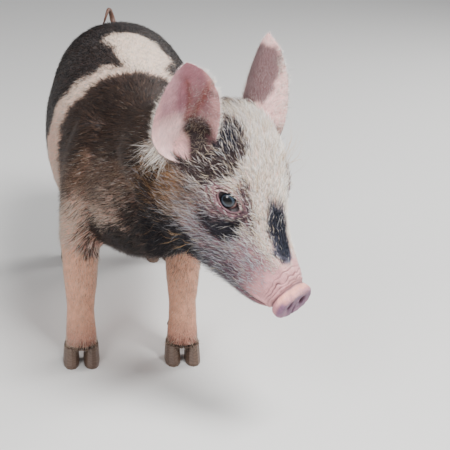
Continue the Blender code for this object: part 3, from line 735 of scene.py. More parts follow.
# Painted shadow under the jaw, over its dark hair and skin.
JAW_PAINTED_SHADOW = [(40, -106), (62, -104), (84, -112), (101, -130), (108, -152), (105, -200), (30, -200)]
# Darker mauve skin and slate hair along the jowl, partly painted shade.
JOWL_MAUVE_AND_SHADE = [(84, -100), (100, -96), (118, -104), (132, -118), (130, -140), (108, -150), (90, -130)]
FACE_MARKS = [
    # Darker mauve skin and slate hair on the jowl, partly painted shade.
    (JOWL_MAUVE_AND_SHADE, rgb(86, 68, 82), rgb(88, 88, 104), 0.0110, 0.50),
    (TEMPLE, rgb(132, 100, 104), rgb(150, 134, 136), 0.0060, 0.40),
    # Painted shade under the eye's pouch.
    (POUCH_PAINTED_SHADE, rgb(118, 82, 92), rgb(150, 126, 130), 0.0030, 0.70),
    (CORNER, rgb(98, 68, 78), rgb(112, 90, 98), 0.0050, 0.86),
    (NAPE, rgb(58, 44, 42), rgb(70, 56, 52), 0.0050, 0.86),
    (BROW, rgb(70, 56, 62), rgb(72, 58, 58), 0.0042, 0.95),
    (BROW_CORE, INK, SLATE_HAIR, 0.0050, 0.95),
    (CRESCENT, rgb(40, 38, 50), rgb(34, 34, 44), 0.0036, 0.97),
    (BRIDGE, rgb(84, 84, 98), rgb(72, 74, 88), 0.0042, 0.96),
    (BRIDGE_CORE, INK, rgb(30, 32, 42), 0.0040, 0.97),
    # Umber-brown lower cheek, partly painted shade.
    (CHEEK_LOW_UMBER_AND_SHADE, rgb(98, 68, 54), UMBER_HAIR, 0.0090, 0.50),
    # Dark brown behind the cheek, painted shadow under the jaw.
    (CHEEK_DARK_AND_SHADOW, rgb(52, 36, 34), DARK_HAIR, 0.0070, 0.88),
    # Painted shadow under the jaw, in skin and hair.
    (JAW_PAINTED_SHADOW, rgb(30, 26, 36), rgb(28, 26, 34), 0.0060, 0.97),
]
FACE_ROUND = 0.045
CHART_STEP = np.array([0.001, math.radians(1) * FACE_ROUND])


def face_chart(points, side):
    """The head unrolled, in metres, with the given side's marks on the negative half."""
    head = to_head(points)
    round_head = np.arctan2(-side * head[:, 1], head[:, 2] - HEAD_AXIS_UP)
    return np.stack([head[:, 0], round_head * FACE_ROUND], axis=1)


def face_marks(points):
    """For each mark, its share at each point: as drawn on the right, and much the same on the left."""
    charts = {side: face_chart(points, side) for side in SIDES.values()}
    ragged = rough(points, (0.0030, 0.007, 61), (0.0016, 0.0025, 62))
    shares = []
    for outline, _, _, soft, strength in FACE_MARKS:
        flat = np.array(outline) * CHART_STEP
        right = outline_share(charts[-1], flat, soft, ragged)
        if outline is BRIDGE or outline is BRIDGE_CORE:
            left = 0 * right
        elif outline is BROW or outline is BROW_CORE:
            left = outline_share(charts[1], flat * (1.06, 0.94) + (0.004, -0.018), soft, ragged)
        else:
            left = outline_share(charts[1], flat, soft, ragged)
        shares.append(strength * np.maximum(right, left))
    return shares


def face_colour(points, region):
    """The face's skin: mauve pink at the sides, paler on the blaze, tan on the cheek, darker under the head
    with painted shade there, then its marks and painted shade, in the mouth's groove and the lids' creases
    too.
    """
    head = to_head(points)
    forward, up = head[:, 0], head[:, 2]
    turn = face_turn(points) + rough(points, (0.12, 0.02, 63), (0.06, 0.007, 64))
    pink = ease(0.130, 0.150, forward + 0.004 * noise(points, 0.01, 48) - 0.15 * np.maximum(up, 0))
    bridge = outline_share(face_chart(points, -1), np.array(BRIDGE) * CHART_STEP, 0.004)
    _, groove = mouth_height(points, head, region)
    colour = paint(
        np.tile(MAUVE, (len(points), 1)),
        (BLAZE, ease(1.00, 0.50, turn)),
        (TAN, 0.85 * ease(0.085, 0.045, forward) * ease(0.95, 1.4, turn)),
        # Darker mauve skin under the head, partly painted shade.
        (JAW, 0.85 * ease(1.75, 2.3, turn) * ease(0.040, 0.075, forward)),
        *((mark[1], share) for mark, share in zip(FACE_MARKS, face_marks(points))),
        (MUZZLE, 0.9 * pink * (1 - bridge)),
        (LOWER_LIP, 0.85 * ease(-0.006, -0.020, up) * ease(0.100, 0.122, forward)),
        # Painted shade in the groove between the lips.
        (rgb(52, 34, 40), 0.85 * groove),
    )
    for side in SIDES.values():
        away, eye = eye_gap(points, side)
        near = (length_of(eye) < 0.026) & (eye[:, 2] > 0)
        _, crease = eye_folds(points, side)
        colour = paint(
            colour,
            (rgb(108, 78, 84), 0.75 * ease(0.0110, 0.0030, away + 0.0016 * noise(points, 0.005, 49)) * near),
            # Painted shade in the lids' creases.
            (rgb(52, 28, 34), 0.85 * np.clip(crease, 0, 1) * near),
            (rgb(34, 24, 28), ease(0.0012, 0.0004, away) * near),
        )
    return paint(colour, *disc_layers(points, region))


def disc_layers(points, region):
    """Layers of colour on the disc: a pink rolled rim with a painted highlight along its top, a purple
    mottled face, and painted shade in the creases round it, its middle groove and its nostrils.
    """
    disc = to_disc(points)
    plate = ease(-0.001, 0.003, disc[:, 0]) * (region == SNOUT)
    mottled = 0.004 * noise(points, 0.006, 50)
    roll = ease(0.0004, 0.0024, disc_seam(disc)) * (region == SNOUT) * ease(0.0046, 0.0016, disc[:, 0])
    _, crease_shade = snout_folds(points, region)
    return [
        (rgb(196, 136, 142), roll),
        # Painted highlight along the top of the rolled rim.
        (rgb(224, 154, 140), roll * ease(0.000, 0.008, disc[:, 2] + 0.5 * mottled)),
        (rgb(116, 84, 110), plate * ease(0.013, 0.005, disc[:, 2] + mottled) * 0.94),
        (rgb(166, 116, 138), plate * ease(0.2, 0.7, noise(points, 0.005, 66)) * 0.6),
        # Painted shade in the creases behind the disc, its middle groove and its nostrils.
        (rgb(58, 34, 38), 0.82 * np.clip(crease_shade, 0, 1)),
    ]


EAR_BACK_DARK = [(10, 98), (-12, 99), (-21, 90), (-22, 72), (-17, 60), (-10, 51), (4, 46), (18, 50), (20, 76)]


def ear_dark(ear, points):
    flat = np.stack([ear[:, 0], ear[:, 1] * EAR_LONG], axis=1)
    ragged = rough(points, (0.0025, 0.006, 55), (0.0012, 0.002, 56))
    return outline_share(flat, np.array(EAR_BACK_DARK) * 0.001, 0.0026, ragged)


def ear_colour(points, normals, side_name):
    """An ear's skin: a patched back, and a cup with a pale lobe, red channels, freckles, painted shade in its
    hollow and canal, and a painted highlight along its rims.
    """
    ear = to_ear(points, side_name)
    facing = normals @ ear_axes(side_name)[1][:, 2]
    across, along = ear[:, 0] * 1000, ear[:, 1]
    wobble = rough(points, (1.6, 0.008, 57), (0.8, 0.003, 58))
    ragged = across + wobble
    edge = ease(18, 25, np.abs(across + 0.5) + 10 * ease(0.6, 1.0, along) + wobble)
    reach = ease(0.22, 0.36, along) * ease(0.88, 0.74, along)
    red = hump(ragged, np.interp(along, *CHANNEL_ONE), 3.2)
    red = red + hump(ragged, np.interp(along, *CHANNEL_TWO), 2.4)
    freckle = ease(0.15, 0.50, noise(points, 0.0035, 59)) * ease(-19, -25, ragged)
    from_canal = np.maximum(along - 0.23, 0.2 * (0.23 - along)) * 78
    hollow = ease(15.0, 7.5, np.hypot(across + 14 + wobble, from_canal))
    cup = paint(
        blend(rgb(156, 104, 114), rgb(250, 208, 206), ease(0.52, 0.30, along)),
        (rgb(206, 158, 164), 0.75 * ease(1, 12, ragged) * ease(0.38, 0.56, along)),
        (rgb(164, 106, 116), ease(0.55, 0.75, along) * ease(8, -6, ragged) * 0.7),
        (rgb(140, 98, 100), 0.8 * ease(-2, -9, ragged) * ease(0.86, 0.66, along)),
        (RED_BROWN, 0.85 * np.clip(red, 0, 1) * reach),
        (rgb(40, 30, 36), 0.95 * freckle * ease(0.46, 0.52, along) * ease(0.84, 0.76, along)),
        # Painted shade in the hollow at the canal's entrance.
        (rgb(46, 30, 30), 0.95 * hollow),
        # Painted highlight along the cup's rims.
        (rgb(236, 180, 176), 0.45 * edge * (1 - hollow)),
    )
    back = blend(rgb(214, 166, 162), rgb(96, 68, 70), 0.95 * ear_dark(ear, points))
    # Painted shade down the canal, where the cup's skin turns away from the opening.
    canal = hollow * ease(0.32, 0.24, along) * ease(-0.7, -0.4, facing)
    return mix(mix(back, cup, ease(-0.15, 0.35, facing)), CANAL_PAINTED_SHADE, 0.95 * canal)


def colours(points, normals, region):
    """The skin's colour all over, with painted light and shade on the face and ears."""
    count = len(points)
    height = to_design(points)[:, 2]
    rump, saddle, shoulder, throat, brown = body_marks(points)
    skin = paint(
        np.tile(FLESH, (count, 1)),
        (CREAM, 0.6 * ease(0.20, 0.27, height)),
        (CREAM, 0.8 * saddle),
        (PINK, 0.5 * ease(0.15, 0.11, height)),
        (rgb(132, 96, 80), 0.8 * brown),
        (BROWN, throat * 0.95),
        (DARK, rump * 0.97),
        (rgb(50, 40, 40), shoulder * 0.95),
    )
    onto_face = ease(-0.012, 0.022, to_head(points)[:, 0] + 0.004 * noise(points, 0.01, 54))
    skin = np.where(np.isin(region, FACE)[:, None], mix(skin, face_colour(points, region), onto_face), skin)
    for side_name, number in EAR_REGIONS.items():
        cup = ear_colour(points, normals, side_name)
        share = (region == number) + (region == HEAD) * ease(0.20, 0.55, concha_share(points, side_name))
        across = to_ear(points, side_name)[:, 0] * 1000 + 1.5 * noise(points, 0.006, 65)
        # Painted shade in the hollow at the ear's root on the head, then the pale lobe.
        lobe = blend(CANAL_PAINTED_SHADE, rgb(120, 82, 86), ease(-17, -24, across))
        lobe = mix(lobe, rgb(242, 192, 190), ease(-7, 0, across))
        skin = mix(skin, np.where((region == number)[:, None], cup, lobe), np.clip(share, 0, 1))
    skin = np.where((region == TAIL)[:, None], rgb(92, 66, 56), skin)
    legs = blend(rgb(208, 152, 126), rgb(170, 120, 104), ease(0.05, 0.02, height))
    legs = mix(legs, DARK, rump * ease(-0.05, -0.10, to_design(points)[:, 0]))
    skin = np.where((region == LEG)[:, None], legs, skin)
    return np.clip(skin * (1 + rough(points, (0.07, 0.01, 52), (0.05, 0.003, 53)))[:, None], 0, 1)


def set_colour(mesh, name, colour):
    layer = mesh.attributes.new(name, "FLOAT_COLOR", "POINT")
    full = np.ones((len(colour), 4), np.float32)
    full[:, :3] = colour
    layer.data.foreach_set("color", full.ravel())


def set_vector(mesh, name, values):
    layer = mesh.attributes.new(name, "FLOAT_VECTOR", "POINT")
    layer.data.foreach_set("vector", values.astype(np.float32).ravel())


def nodes_of(name):
    material = bpy.data.materials.new(name)
    material.use_nodes = True
    tree = material.node_tree
    return material, tree, tree.nodes["Principled BSDF"]


def fill(tree, made, inputs):
    """Sets a node's inputs, by name or number: an output is linked, anything else is the value."""
    for name, value in inputs.items():
        if isinstance(value, bpy.types.NodeSocket):
            tree.links.new(value, made.inputs[name])
        else:
            made.inputs[name].default_value = value


def node(tree, kind, inputs=(), **settings):
    """Adds a shader node and gives its outputs."""
    made = tree.nodes.new("ShaderNode" + kind)
    for name, value in settings.items():
        setattr(made, name, value)
    fill(tree, made, dict(inputs))
    return made.outputs


def spread_out(tree, value, from_low, from_high, to_low, to_high):
    ends = {"From Min": from_low, "From Max": from_high, "To Min": to_low, "To Max": to_high}
    return node(tree, "MapRange", {"Value": value, **ends})["Result"]


def tinted(tree, strength):
    """The tint in the mesh, made darker and lighter by the given strength."""
    tint = node(tree, "Attribute", attribute_name="tint")["Color"]
    return node(tree, "VectorMath", {0: tint, "Scale": strength}, operation="SCALE")["Vector"]


def skin_material():
    """Thin pink hide: its tint is in the mesh, with mottling, pores and the strokes of the finest hair."""
    material, tree, shader = nodes_of("hide")
    lie = node(tree, "Attribute", attribute_name="lie")["Vector"]
    along_hair = node(tree, "Mapping", {"Vector": lie, "Scale": (150, 1500, 1)})["Vector"]
    strokes = node(tree, "TexNoise", {"Vector": along_hair, "Scale": 1.0, "Detail": 2.0})["Fac"]
    place_of = node(tree, "TexCoord")["Object"]
    mottle = node(tree, "TexNoise", {"Vector": place_of, "Scale": 160.0, "Detail": 4.0})["Fac"]
    pores = node(tree, "TexVoronoi", {"Vector": place_of, "Scale": 700.0})["Distance"]
    shade = spread_out(tree, mottle, 0.3, 0.7, 0.86, 1.12)
    hair = spread_out(tree, strokes, 0.35, 0.65, 0.80, 1.15)
    both = node(tree, "Math", {0: shade, 1: hair}, operation="MULTIPLY")["Value"]
    fine = node(tree, "Bump", {"Height": strokes, "Strength": 0.35, "Distance": 0.0006})["Normal"]
    pored = {"Height": pores, "Strength": 0.25, "Distance": 0.0004, "Normal": fine}
    fill(tree, shader, {
        "Base Color": tinted(tree, both), "Normal": node(tree, "Bump", pored)["Normal"],
        "Roughness": 0.5, "Specular IOR Level": 0.30,
        "Subsurface Weight": 0.12, "Subsurface Radius": (0.004, 0.0015, 0.001), "Subsurface Scale": 1.0,
    })
    return material


def hair_material():
    """Hair: its tint is in the mesh, streaked a little."""
    material, tree, shader = nodes_of("hair")
    place_of = node(tree, "TexCoord")["Object"]
    streak = node(tree, "TexNoise", {"Vector": place_of, "Scale": 900.0, "Detail": 1.0})["Fac"]
    colour = tinted(tree, spread_out(tree, streak, 0.0, 1.0, 0.82, 1.18))
    fill(tree, shader, {"Base Color": colour, "Roughness": 0.42, "Specular IOR Level": 0.22})
    return material


class Surface:
    """The finished skin as arrays, triangle by triangle, to set the coat's roots on."""

    def __init__(self, mesh, region):
        mesh.calc_loop_triangles()
        self.corners = read(mesh.loop_triangles, "vertices", 3, np.int32)
        self.points = points_of(mesh)
        self.normals = normals_of(mesh)
        self.region = region
        self.hair = hair_material()
        a, b, c = (self.points[self.corners[:, k]] for k in range(3))
        self.area = length_of(np.cross(b - a, c - a)) / 2
        self.middle = (a + b + c) / 3
        self.owner = region[self.corners[:, 0]]


def plan_uv(points, region):
    """Cells of the flat plan: each part of the body has its own square of the map."""
    along, across, cell = unwrap(points, region)
    column = cell % 4
    row = cell // 4
    u = (column + 0.5 + np.clip(along * 1.4 + (cell < 2) * 0.02, -0.46, 0.46)) / 4
    v = (row + 0.5 + np.clip(across * 1.7, -0.46, 0.46)) / 4
    return np.stack([u, v], axis=1)


class Bed:
    """The roots of one piece of coat, and its random draws, made in the order that they are asked for."""

    def __init__(self, surface, density, count, seed):
        self.count, self.material = count, surface.hair
        self.draw = np.random.default_rng(seed)
        weight = surface.area * density
        chosen = self.draw.choice(len(weight), size=count, p=weight / weight.sum())
        first, second = self.draw.random((2, count))
        over = first + second > 1
        first, second = np.where(over, 1 - first, first), np.where(over, 1 - second, second)
        shares = np.stack([1 - first - second, first, second], axis=1)
        corner = surface.corners[chosen]
        self.points = np.einsum("ij,ijk->ik", shares, surface.points[corner])
        self.normals = unit(np.einsum("ij,ijk->ik", shares, surface.normals[corner]))
        self.region = surface.region[corner[:, 0]]

    def vary(self, low, high):
        return self.draw.uniform(low, high, self.count)

    def lift(self, low, high):
        return np.radians(self.vary(low, high))

    def lean(self, spread):
        """The way the coat lies, with a random turn to either side."""
        lie = lie_of(self.points, self.normals, self.region)
        return unit(lie + np.cross(self.normals, lie) * self.draw.normal(0, spread, self.count)[:, None])

    def tint(self):
        return coat_tint(self.points, self.normals, self.region, self.draw)

    def stance(self, lie, lift):
        """Each tuft's side, its sunk root and the way that it leaves the skin."""
        way = lie * np.cos(lift)[:, None] + self.normals * np.sin(lift)[:, None]
        return unit(np.cross(self.normals, lie)), self.points - self.normals * ROOT_SUNK, way


def spikes(bed, lie, length, width, lift):
    """Corners of slim closed spikes of four triangles."""
    side, start, way = bed.stance(lie, lift)
    half = width[:, None]
    base = [start + side * half, start - side * half, start + bed.normals * half * 0.8]
    return base + [start + way * length[:, None]]


def blades(bed, lie, length, width, lift, droop, bend):
    """Corners of three-sided blades of two lengths that lean along the lie, taper, droop and bend."""
    side, start, way = bed.stance(lie, lift)
    reach = length[:, None]
    middle = start + way * reach * 0.5 + side * (bend * length * 0.12)[:, None]
    tip = start + way * reach - bed.normals * (droop * length)[:, None]
    tip = tip + side * (bend * length * 0.5)[:, None]
    up = unit(np.cross(lie, side))
    up = np.where(np.sum(up * bed.normals, axis=1, keepdims=True) < 0, -up, up)
    corners = []
    for centre, share in ((start, 1.0), (middle, 0.78)):
        half = (width * share)[:, None]
        corners += [centre + side * half, centre - side * half, centre + up * half * 0.7]
    return corners + [tip]


# Kinds of tuft: the corners' function, the faces, and how far along the tuft each corner lies.
SPIKE = (spikes, np.array([[0, 1, 2], [0, 3, 1], [1, 3, 2], [2, 3, 0]]), np.array([0, 0, 0, 1.0]))
BLADE = (blades, np.array([[0, 1, 2], [0, 3, 4], [0, 4, 1], [1, 4, 5], [1, 5, 2], [2, 5, 3], [2, 3, 0],
                           [3, 6, 4], [4, 6, 5], [5, 6, 3]]), np.array([0, 0, 0, 0.6, 0.6, 0.6, 1.0]))
ROOT_SUNK = 0.0004
PATCH = 0.003
# How many tufts each piece of coat has, on one ear or eye where there are two.
TUFTS = {"body": 116000, "legs": 46000, "head_close": 36000, "head_long": 27000, "ear": 8400, "curls": 190,
         "cup_hair": 650, "fan": 130, "fringe": 800, "lashes": 70}


def grow(name, bed, root_shade, tint, kind, *sizes, slot="pale_coat", pieces=1):
    """Joins the tufts of a bed into equal pieces in the bed's order, numbered where there are several."""
    corners = np.stack(kind[0](bed, *sizes), axis=1)
    corners = np.clip(corners, np.array(CAD_BOX[0]) + INSIDE_BOX, np.array(CAD_BOX[1]) - INSIDE_BOX)
    for number in range(pieces):
        part = slice(number * bed.count // pieces, (number + 1) * bed.count // pieces)
        plan = plan_uv(bed.points[part], bed.region[part])
        piece_name = f"{name}_{number + 1}" if pieces > 1 else name
        mesh = tuft_mesh(piece_name, corners[part], kind, plan, root_shade, tint[part])
        dress(mesh, bed.material)


def tuft_mesh(name, corners, kind, plan, root_shade, tint):
    """One mesh of tufts, tinted from root to tip, each with a patch of the plan at its root's place."""
    _, faces, reach = kind
    count, each = corners.shape[:2]
    total = len(faces) * count
    corner = (faces[None] + each * np.arange(count)[:, None, None]).reshape(-1)
    mesh = bpy.data.meshes.new(name)
    mesh.vertices.add(count * each)
    mesh.vertices.foreach_set("co", corners.astype(np.float32).ravel())
    mesh.loops.add(total * 3)
    mesh.loops.foreach_set("vertex_index", corner.astype(np.int32))
    mesh.polygons.add(total)
    mesh.polygons.foreach_set("loop_start", np.arange(0, total * 3, 3, dtype=np.int32))
    mesh.update(calc_edges=True)
    shade = root_shade + (1 - root_shade) * reach
    set_colour(mesh, "tint", np.clip((tint[:, None] * shade[None, :, None]).reshape(-1, 3), 0, 1))
    swing = np.arange(each) * 2 * math.pi / each
    patch = np.stack([np.cos(swing), np.sin(swing)], axis=1) * PATCH / 2
    spread = (plan[:, None] + patch[None]).reshape(-1, 2)[corner]
    mesh.uv_layers.new(name="OFBake").data.foreach_set("uv", spread.astype(np.float32).ravel())
    return mesh


def dress(mesh, material):
    """A smooth visible piece of the given mesh, under its name, that rides with the body."""
    mesh.shade_smooth()
    mesh.materials.append(material)
    piece = link(mesh.name, mesh)
    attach(piece, "root")
    return piece


def coat_tint(points, normals, region, draw):
    """The hair's colour, with painted light and shade in it: each tuft takes a dark or a pale one by the
    chance that its place gives it.
    """
    count = len(points)
    forward = to_head(points)[:, 0]
    turn = face_turn(points)
    on_head = region == HEAD
    rump, _, shoulder, throat, brown = body_marks(points)
    black = np.maximum(np.maximum(rump, shoulder), throat)
    pick = draw.random(count)
    pale = blend(WHITE_HAIR, CREAM_HAIR, draw.random(count) < 0.45)
    pale = mix(pale, SILVER_HAIR, on_head * ease(0.8, 1.3, turn) * (draw.random(count) < 0.75))
    # Painted shade: pale hair darker down the sides of the head.
    pale = pale * (1 - 0.22 * on_head * ease(0.8, 1.4, turn))[:, None]
    cheek = on_head * ease(0.080, 0.035, forward) * ease(0.95, 1.3, turn)
    flank = np.isin(region, TRUNK) * ease(0.26, 0.20, to_design(points)[:, 2])
    pale = paint(
        pale,
        (TAN_HAIR, cheek * (draw.random(count) < 0.72)),
        (UMBER_HAIR, cheek * (draw.random(count) < 0.16)),
        (rgb(214, 176, 146), (region == LEG) * 0.6),
        (rgb(222, 190, 166), flank * 0.5),
    )
    onto_face = ease(-0.012, 0.022, forward) * on_head
    trunk = np.isin(region, (*TRUNK, HEAD)) * (1 - onto_face)
    # Brown hairs among the dark, more on and below the shoulder: real brown hair, and on the shoulder painted
    # sheen too.
    brown_hairs_and_sheen = draw.random(count) < np.where(trunk, 0.16 + 0.50 * np.maximum(shoulder, brown), 0.1)
    dark = blend(DARK_HAIR, BROWN_HAIR, brown_hairs_and_sheen * 0.8)
    pale = mix(pale, rgb(134, 106, 88), trunk * brown * (draw.random(count) < 0.78))
    dusky = trunk * brown * (1 - shoulder) * (draw.random(count) < 0.34)
    dark_share = black * np.where(on_head, 1 - onto_face, np.isin(region, (*TRUNK, LEG)))
    dark_share = np.maximum(dark_share, dusky)
    # The face marks' hair colours, with the darkened hair of the painted shade under the jaw, on the jowl,
    # under the pouch and on the lower cheek.
    for (_, _, shade, _, _), share in zip(FACE_MARKS, face_marks(points)):
        share = share * onto_face
        dark = mix(dark, shade, np.where(draw.random(count) < 0.8, share, 0))
        dark_share = np.maximum(dark_share, share)
    strays = np.where(on_head, 0.13 - 0.10 * ease(0.062, 0.078, forward), 0.055)
    strays = strays * ease(2.3, 1.8, turn) + 0.06 * trunk * shoulder
    tint = mix(pale, dark, pick < dark_share * (1 - strays))
    own = colours(points, normals, region)
    ears = np.isin(region, (EAR_R, EAR_L))[:, None]
    tint = np.where(ears, mix(own * 1.25, WHITE_HAIR, np.clip(own.mean(axis=1) * 1.2, 0.10, 0.6)), tint)
    # Painted light: hair brighter still on the blaze at the top of the head.
    blaze = on_head * ease(0.95, 0.55, turn)
    return np.clip(tint * (draw.uniform(0.72, 1.18, count) + 0.12 * blaze)[:, None], 0, 1)


def body_coat(surface):
    """Short bristles over the trunk and neck, longer over the shoulders."""
    density = np.isin(surface.owner, TRUNK) * (0.75 + 0.5 * ease(0.02, 0.12, to_design(surface.middle)[:, 0]))
    bed = Bed(surface, density, TUFTS["body"], 101)
    lie = bed.lean(0.17)
    length = (0.0072 + 0.0050 * ease(0.0, 0.10, to_design(bed.points)[:, 0])) * bed.vary(0.55, 1.3)
    width, lift, tint = bed.vary(0.00018, 0.00038), bed.lift(7, 24), bed.tint()
    thin_pale = np.where(tint.mean(axis=1) > 0.25, 0.72, 1.0)
    grow("coat_body", bed, 0.62, tint, SPIKE, lie, length * thin_pale, width * thin_pale, lift,
         slot="dark_coat", pieces=3)


def leg_coat(surface):
    """Close bristles down the legs, longer where they hang over the hooves."""
    bed = Bed(surface, (surface.owner == LEG) * 1.0, TUFTS["legs"], 102)
    lie = bed.lean(0.14)
    z = to_design(bed.points)[:, 2]
    length = 0.0036 + 0.0026 * ease(0.06, 0.14, z) + 0.0062 * ease(0.034, 0.023, z)
    length = length * bed.vary(0.6, 1.2)
    width, lift = bed.vary(0.00010, 0.00020), bed.lift(6, 20)
    grow("coat_legs", bed, 0.75, bed.tint(), SPIKE, lie, length, width, lift)


def head_length(points):
    """How long the face's hair is: shorter towards the snout and round the eyes, longer under the jaw."""
    length = 0.0096 * (1 - 0.62 * ease(0.10, 0.16, to_head(points)[:, 0]))
    length = length * (1 + 0.35 * ease(2.0, 2.5, face_turn(points)))
    for side in SIDES.values():
        away, eye = eye_gap(points, side)
        near_eye = ease(0.016, 0.003, away) * (length_of(eye) < 0.03)
        length = length * (1 - 0.62 * near_eye)
    return length


def head_density(surface):
    """How thick the face's hair stands: thin on the snout, lids and jaw, and none in the eyes and ears."""
    along = to_head(surface.middle)[:, 0]
    density = (surface.owner == HEAD) * (1 - 0.58 * ease(0.130, 0.165, along))
    for side in SIDES.values():
        away, eye = eye_gap(surface.middle, side)
        near = (length_of(eye) < 0.024) & (eye[:, 2] > -0.002)
        density = density * np.where(near, 0.45 + 0.55 * ease(0.002, 0.008, away), 1)
        density = density * np.where(near & (away < 0.0012), 0, 1)
    for side_name in SIDES:
        density = density * (1 - ease(0.05, 0.35, concha_share(surface.middle, side_name)))
    return density * (1 - 0.52 * ease(0.7, 1.2, face_turn(surface.middle)) * ease(0.045, 0.075, along))


def head_coat(surface):
    """A fine close coat over the face, and longer curved hair standing out of it."""
    density = head_density(surface)
    bed = Bed(surface, density, TUFTS["head_close"], 103)
    lie = bed.lean(0.20)
    length = 0.62 * head_length(bed.points) * bed.vary(0.6, 1.25)
    width, lift = bed.vary(0.00012, 0.00024), bed.lift(8, 22)
    grow("coat_head_close", bed, 0.52, bed.tint(), SPIKE, lie, length, width, lift)
    bed = Bed(surface, density, TUFTS["head_long"], 104)
    lie = bed.lean(0.24)
    length = head_length(bed.points) * bed.vary(0.65, 1.45)
    width, lift, tint = bed.vary(0.00014, 0.00026), bed.lift(12, 34), bed.tint()
    droop, bend = bed.vary(0.05, 0.28), bed.draw.normal(0, 0.6, bed.count)
    grow("coat_head_long", bed, 0.60, tint, BLADE, lie, length, width, lift, droop, bend, pieces=2)


def loose_hair(name, bed, root_shade, shade, lie, length, width, lift, droop, bend):
    """A piece of long hair: ranges of its length, width, lift in degrees and droop, and how much it bends."""
    long = length if isinstance(length, np.ndarray) else bed.vary(*length)
    grow(name, bed, root_shade, shade, BLADE, lie, long, bed.vary(*width), bed.lift(*lift), bed.vary(*droop),
         bed.draw.normal(0, bend, bed.count))


def ear_coat(surface):
    """Close hair on the backs of the ears, curly hair in their hollows and a pale fringe along their rims."""
    for side_name, number in EAR_REGIONS.items():
        across, along, out = ear_axes(side_name)[1].T
        ear = to_ear(surface.middle, side_name)
        facing = surface.normals[surface.corners[:, 0]] @ out
        owner = surface.owner == number
        bed = Bed(surface, owner * np.where(facing < 0, 1.0, 0.34), TUFTS["ear"], 110 + number)
        lie = bed.lean(0.3)
        length, tint = bed.vary(0.0022, 0.0048), bed.tint()
        width, lift = bed.vary(0.00009, 0.00017), bed.lift(8, 28)
        grow(f"coat_ear_{side_name}", bed, 0.8, tint, SPIKE, lie, length, width, lift)
        hollow = np.exp(-(((ear[:, 0] + 0.014) / 0.010) ** 2) - ((ear[:, 1] - 0.30) / 0.14) ** 2)
        concha = (surface.owner == HEAD) * concha_share(surface.middle, side_name)
        density = owner * (facing > 0.1) * hollow + concha
        bed = Bed(surface, density, TUFTS["curls"], 120 + number)
        lie = unit(along * 0.4 + across * bed.draw.normal(0.2, 0.8, bed.count)[:, None] + 0.3 * out)
        shade = blend(rgb(236, 214, 184), BROWN_HAIR, bed.draw.random(bed.count) ** 3 * 0.8)
        loose_hair(f"curls_{side_name}", bed, 0.6, shade, lie, (0.006, 0.013), (0.00008, 0.00013), (25, 60),
                   (0.1, 0.5), 1.2)
        front_half = ease(0.002, -0.008, ear[:, 0]) * ease(0.16, 0.26, ear[:, 1])
        front_half = front_half * ease(0.84, 0.66, ear[:, 1])
        bed = Bed(surface, owner * (facing > 0.1) * front_half, TUFTS["cup_hair"], 125 + number)
        lie = unit(along * 0.7 - across * bed.draw.normal(0.5, 0.5, bed.count)[:, None] + 0.2 * out)
        shade = blend(WHITE_HAIR, BROWN_HAIR, (bed.draw.random(bed.count) < 0.28) * 0.8)
        loose_hair(f"cup_hair_{side_name}", bed, 0.8, shade, lie, (0.004, 0.009), (0.00007, 0.00012), (8, 30),
                   (0.0, 0.3), 0.8)
        rear = ease(0.008, 0.020, ear[:, 0]) * ease(0.30, 0.20, ear[:, 1]) * ease(-0.06, 0.0, ear[:, 1])
        rim = ease(0.019, 0.024, np.abs(ear[:, 0]) + 0.010 * ease(0.55, 1.0, ear[:, 1]))
        for part, share, long in (("fan", rear, (0.012, 0.032)), ("fringe", rim, (0.0025, 0.0065))):
            bed = Bed(surface, owner * share, TUFTS[part], 130 + number)
            outward = np.sign(to_ear(bed.points, side_name)[:, 0])[:, None] * across
            if part == "fan":
                lie = outward * 0.9 - along * 0.62 + 0.25 * out
            else:
                lie = outward + along * 0.7 - 0.2 * out
            length = bed.vary(*long)
            lie = unit(lie + 0.26 * bed.draw.normal(0, 1, (bed.count, 3)))
            shade = blend(WHITE_HAIR, CREAM_HAIR, bed.draw.random(bed.count) ** 2)
            loose_hair(f"{part}_{side_name}", bed, 0.9, shade, lie, length, (0.00010, 0.00019), (0, 16),
                       (0.0, 0.25), 0.6)


# Groups of long hair: name, middle in the head's frame, spread, how many and how long.
WHISKERS = [
    ("brow_hair_left", (0.068, 0.026, 0.062), 0.011, 26, 0.046),
    ("brow_hair_right", (0.080, -0.024, 0.056), 0.008, 9, 0.026),
    ("chin_hair", (0.125, 0.0, -0.034), 0.015, 16, 0.024),
    ("jaw_hair", (0.075, -0.036, -0.030), 0.014, 10, 0.028),
]
WHISKER_HALF_WIDE = 0.00019
LASH_HALF_WIDE = 0.00010


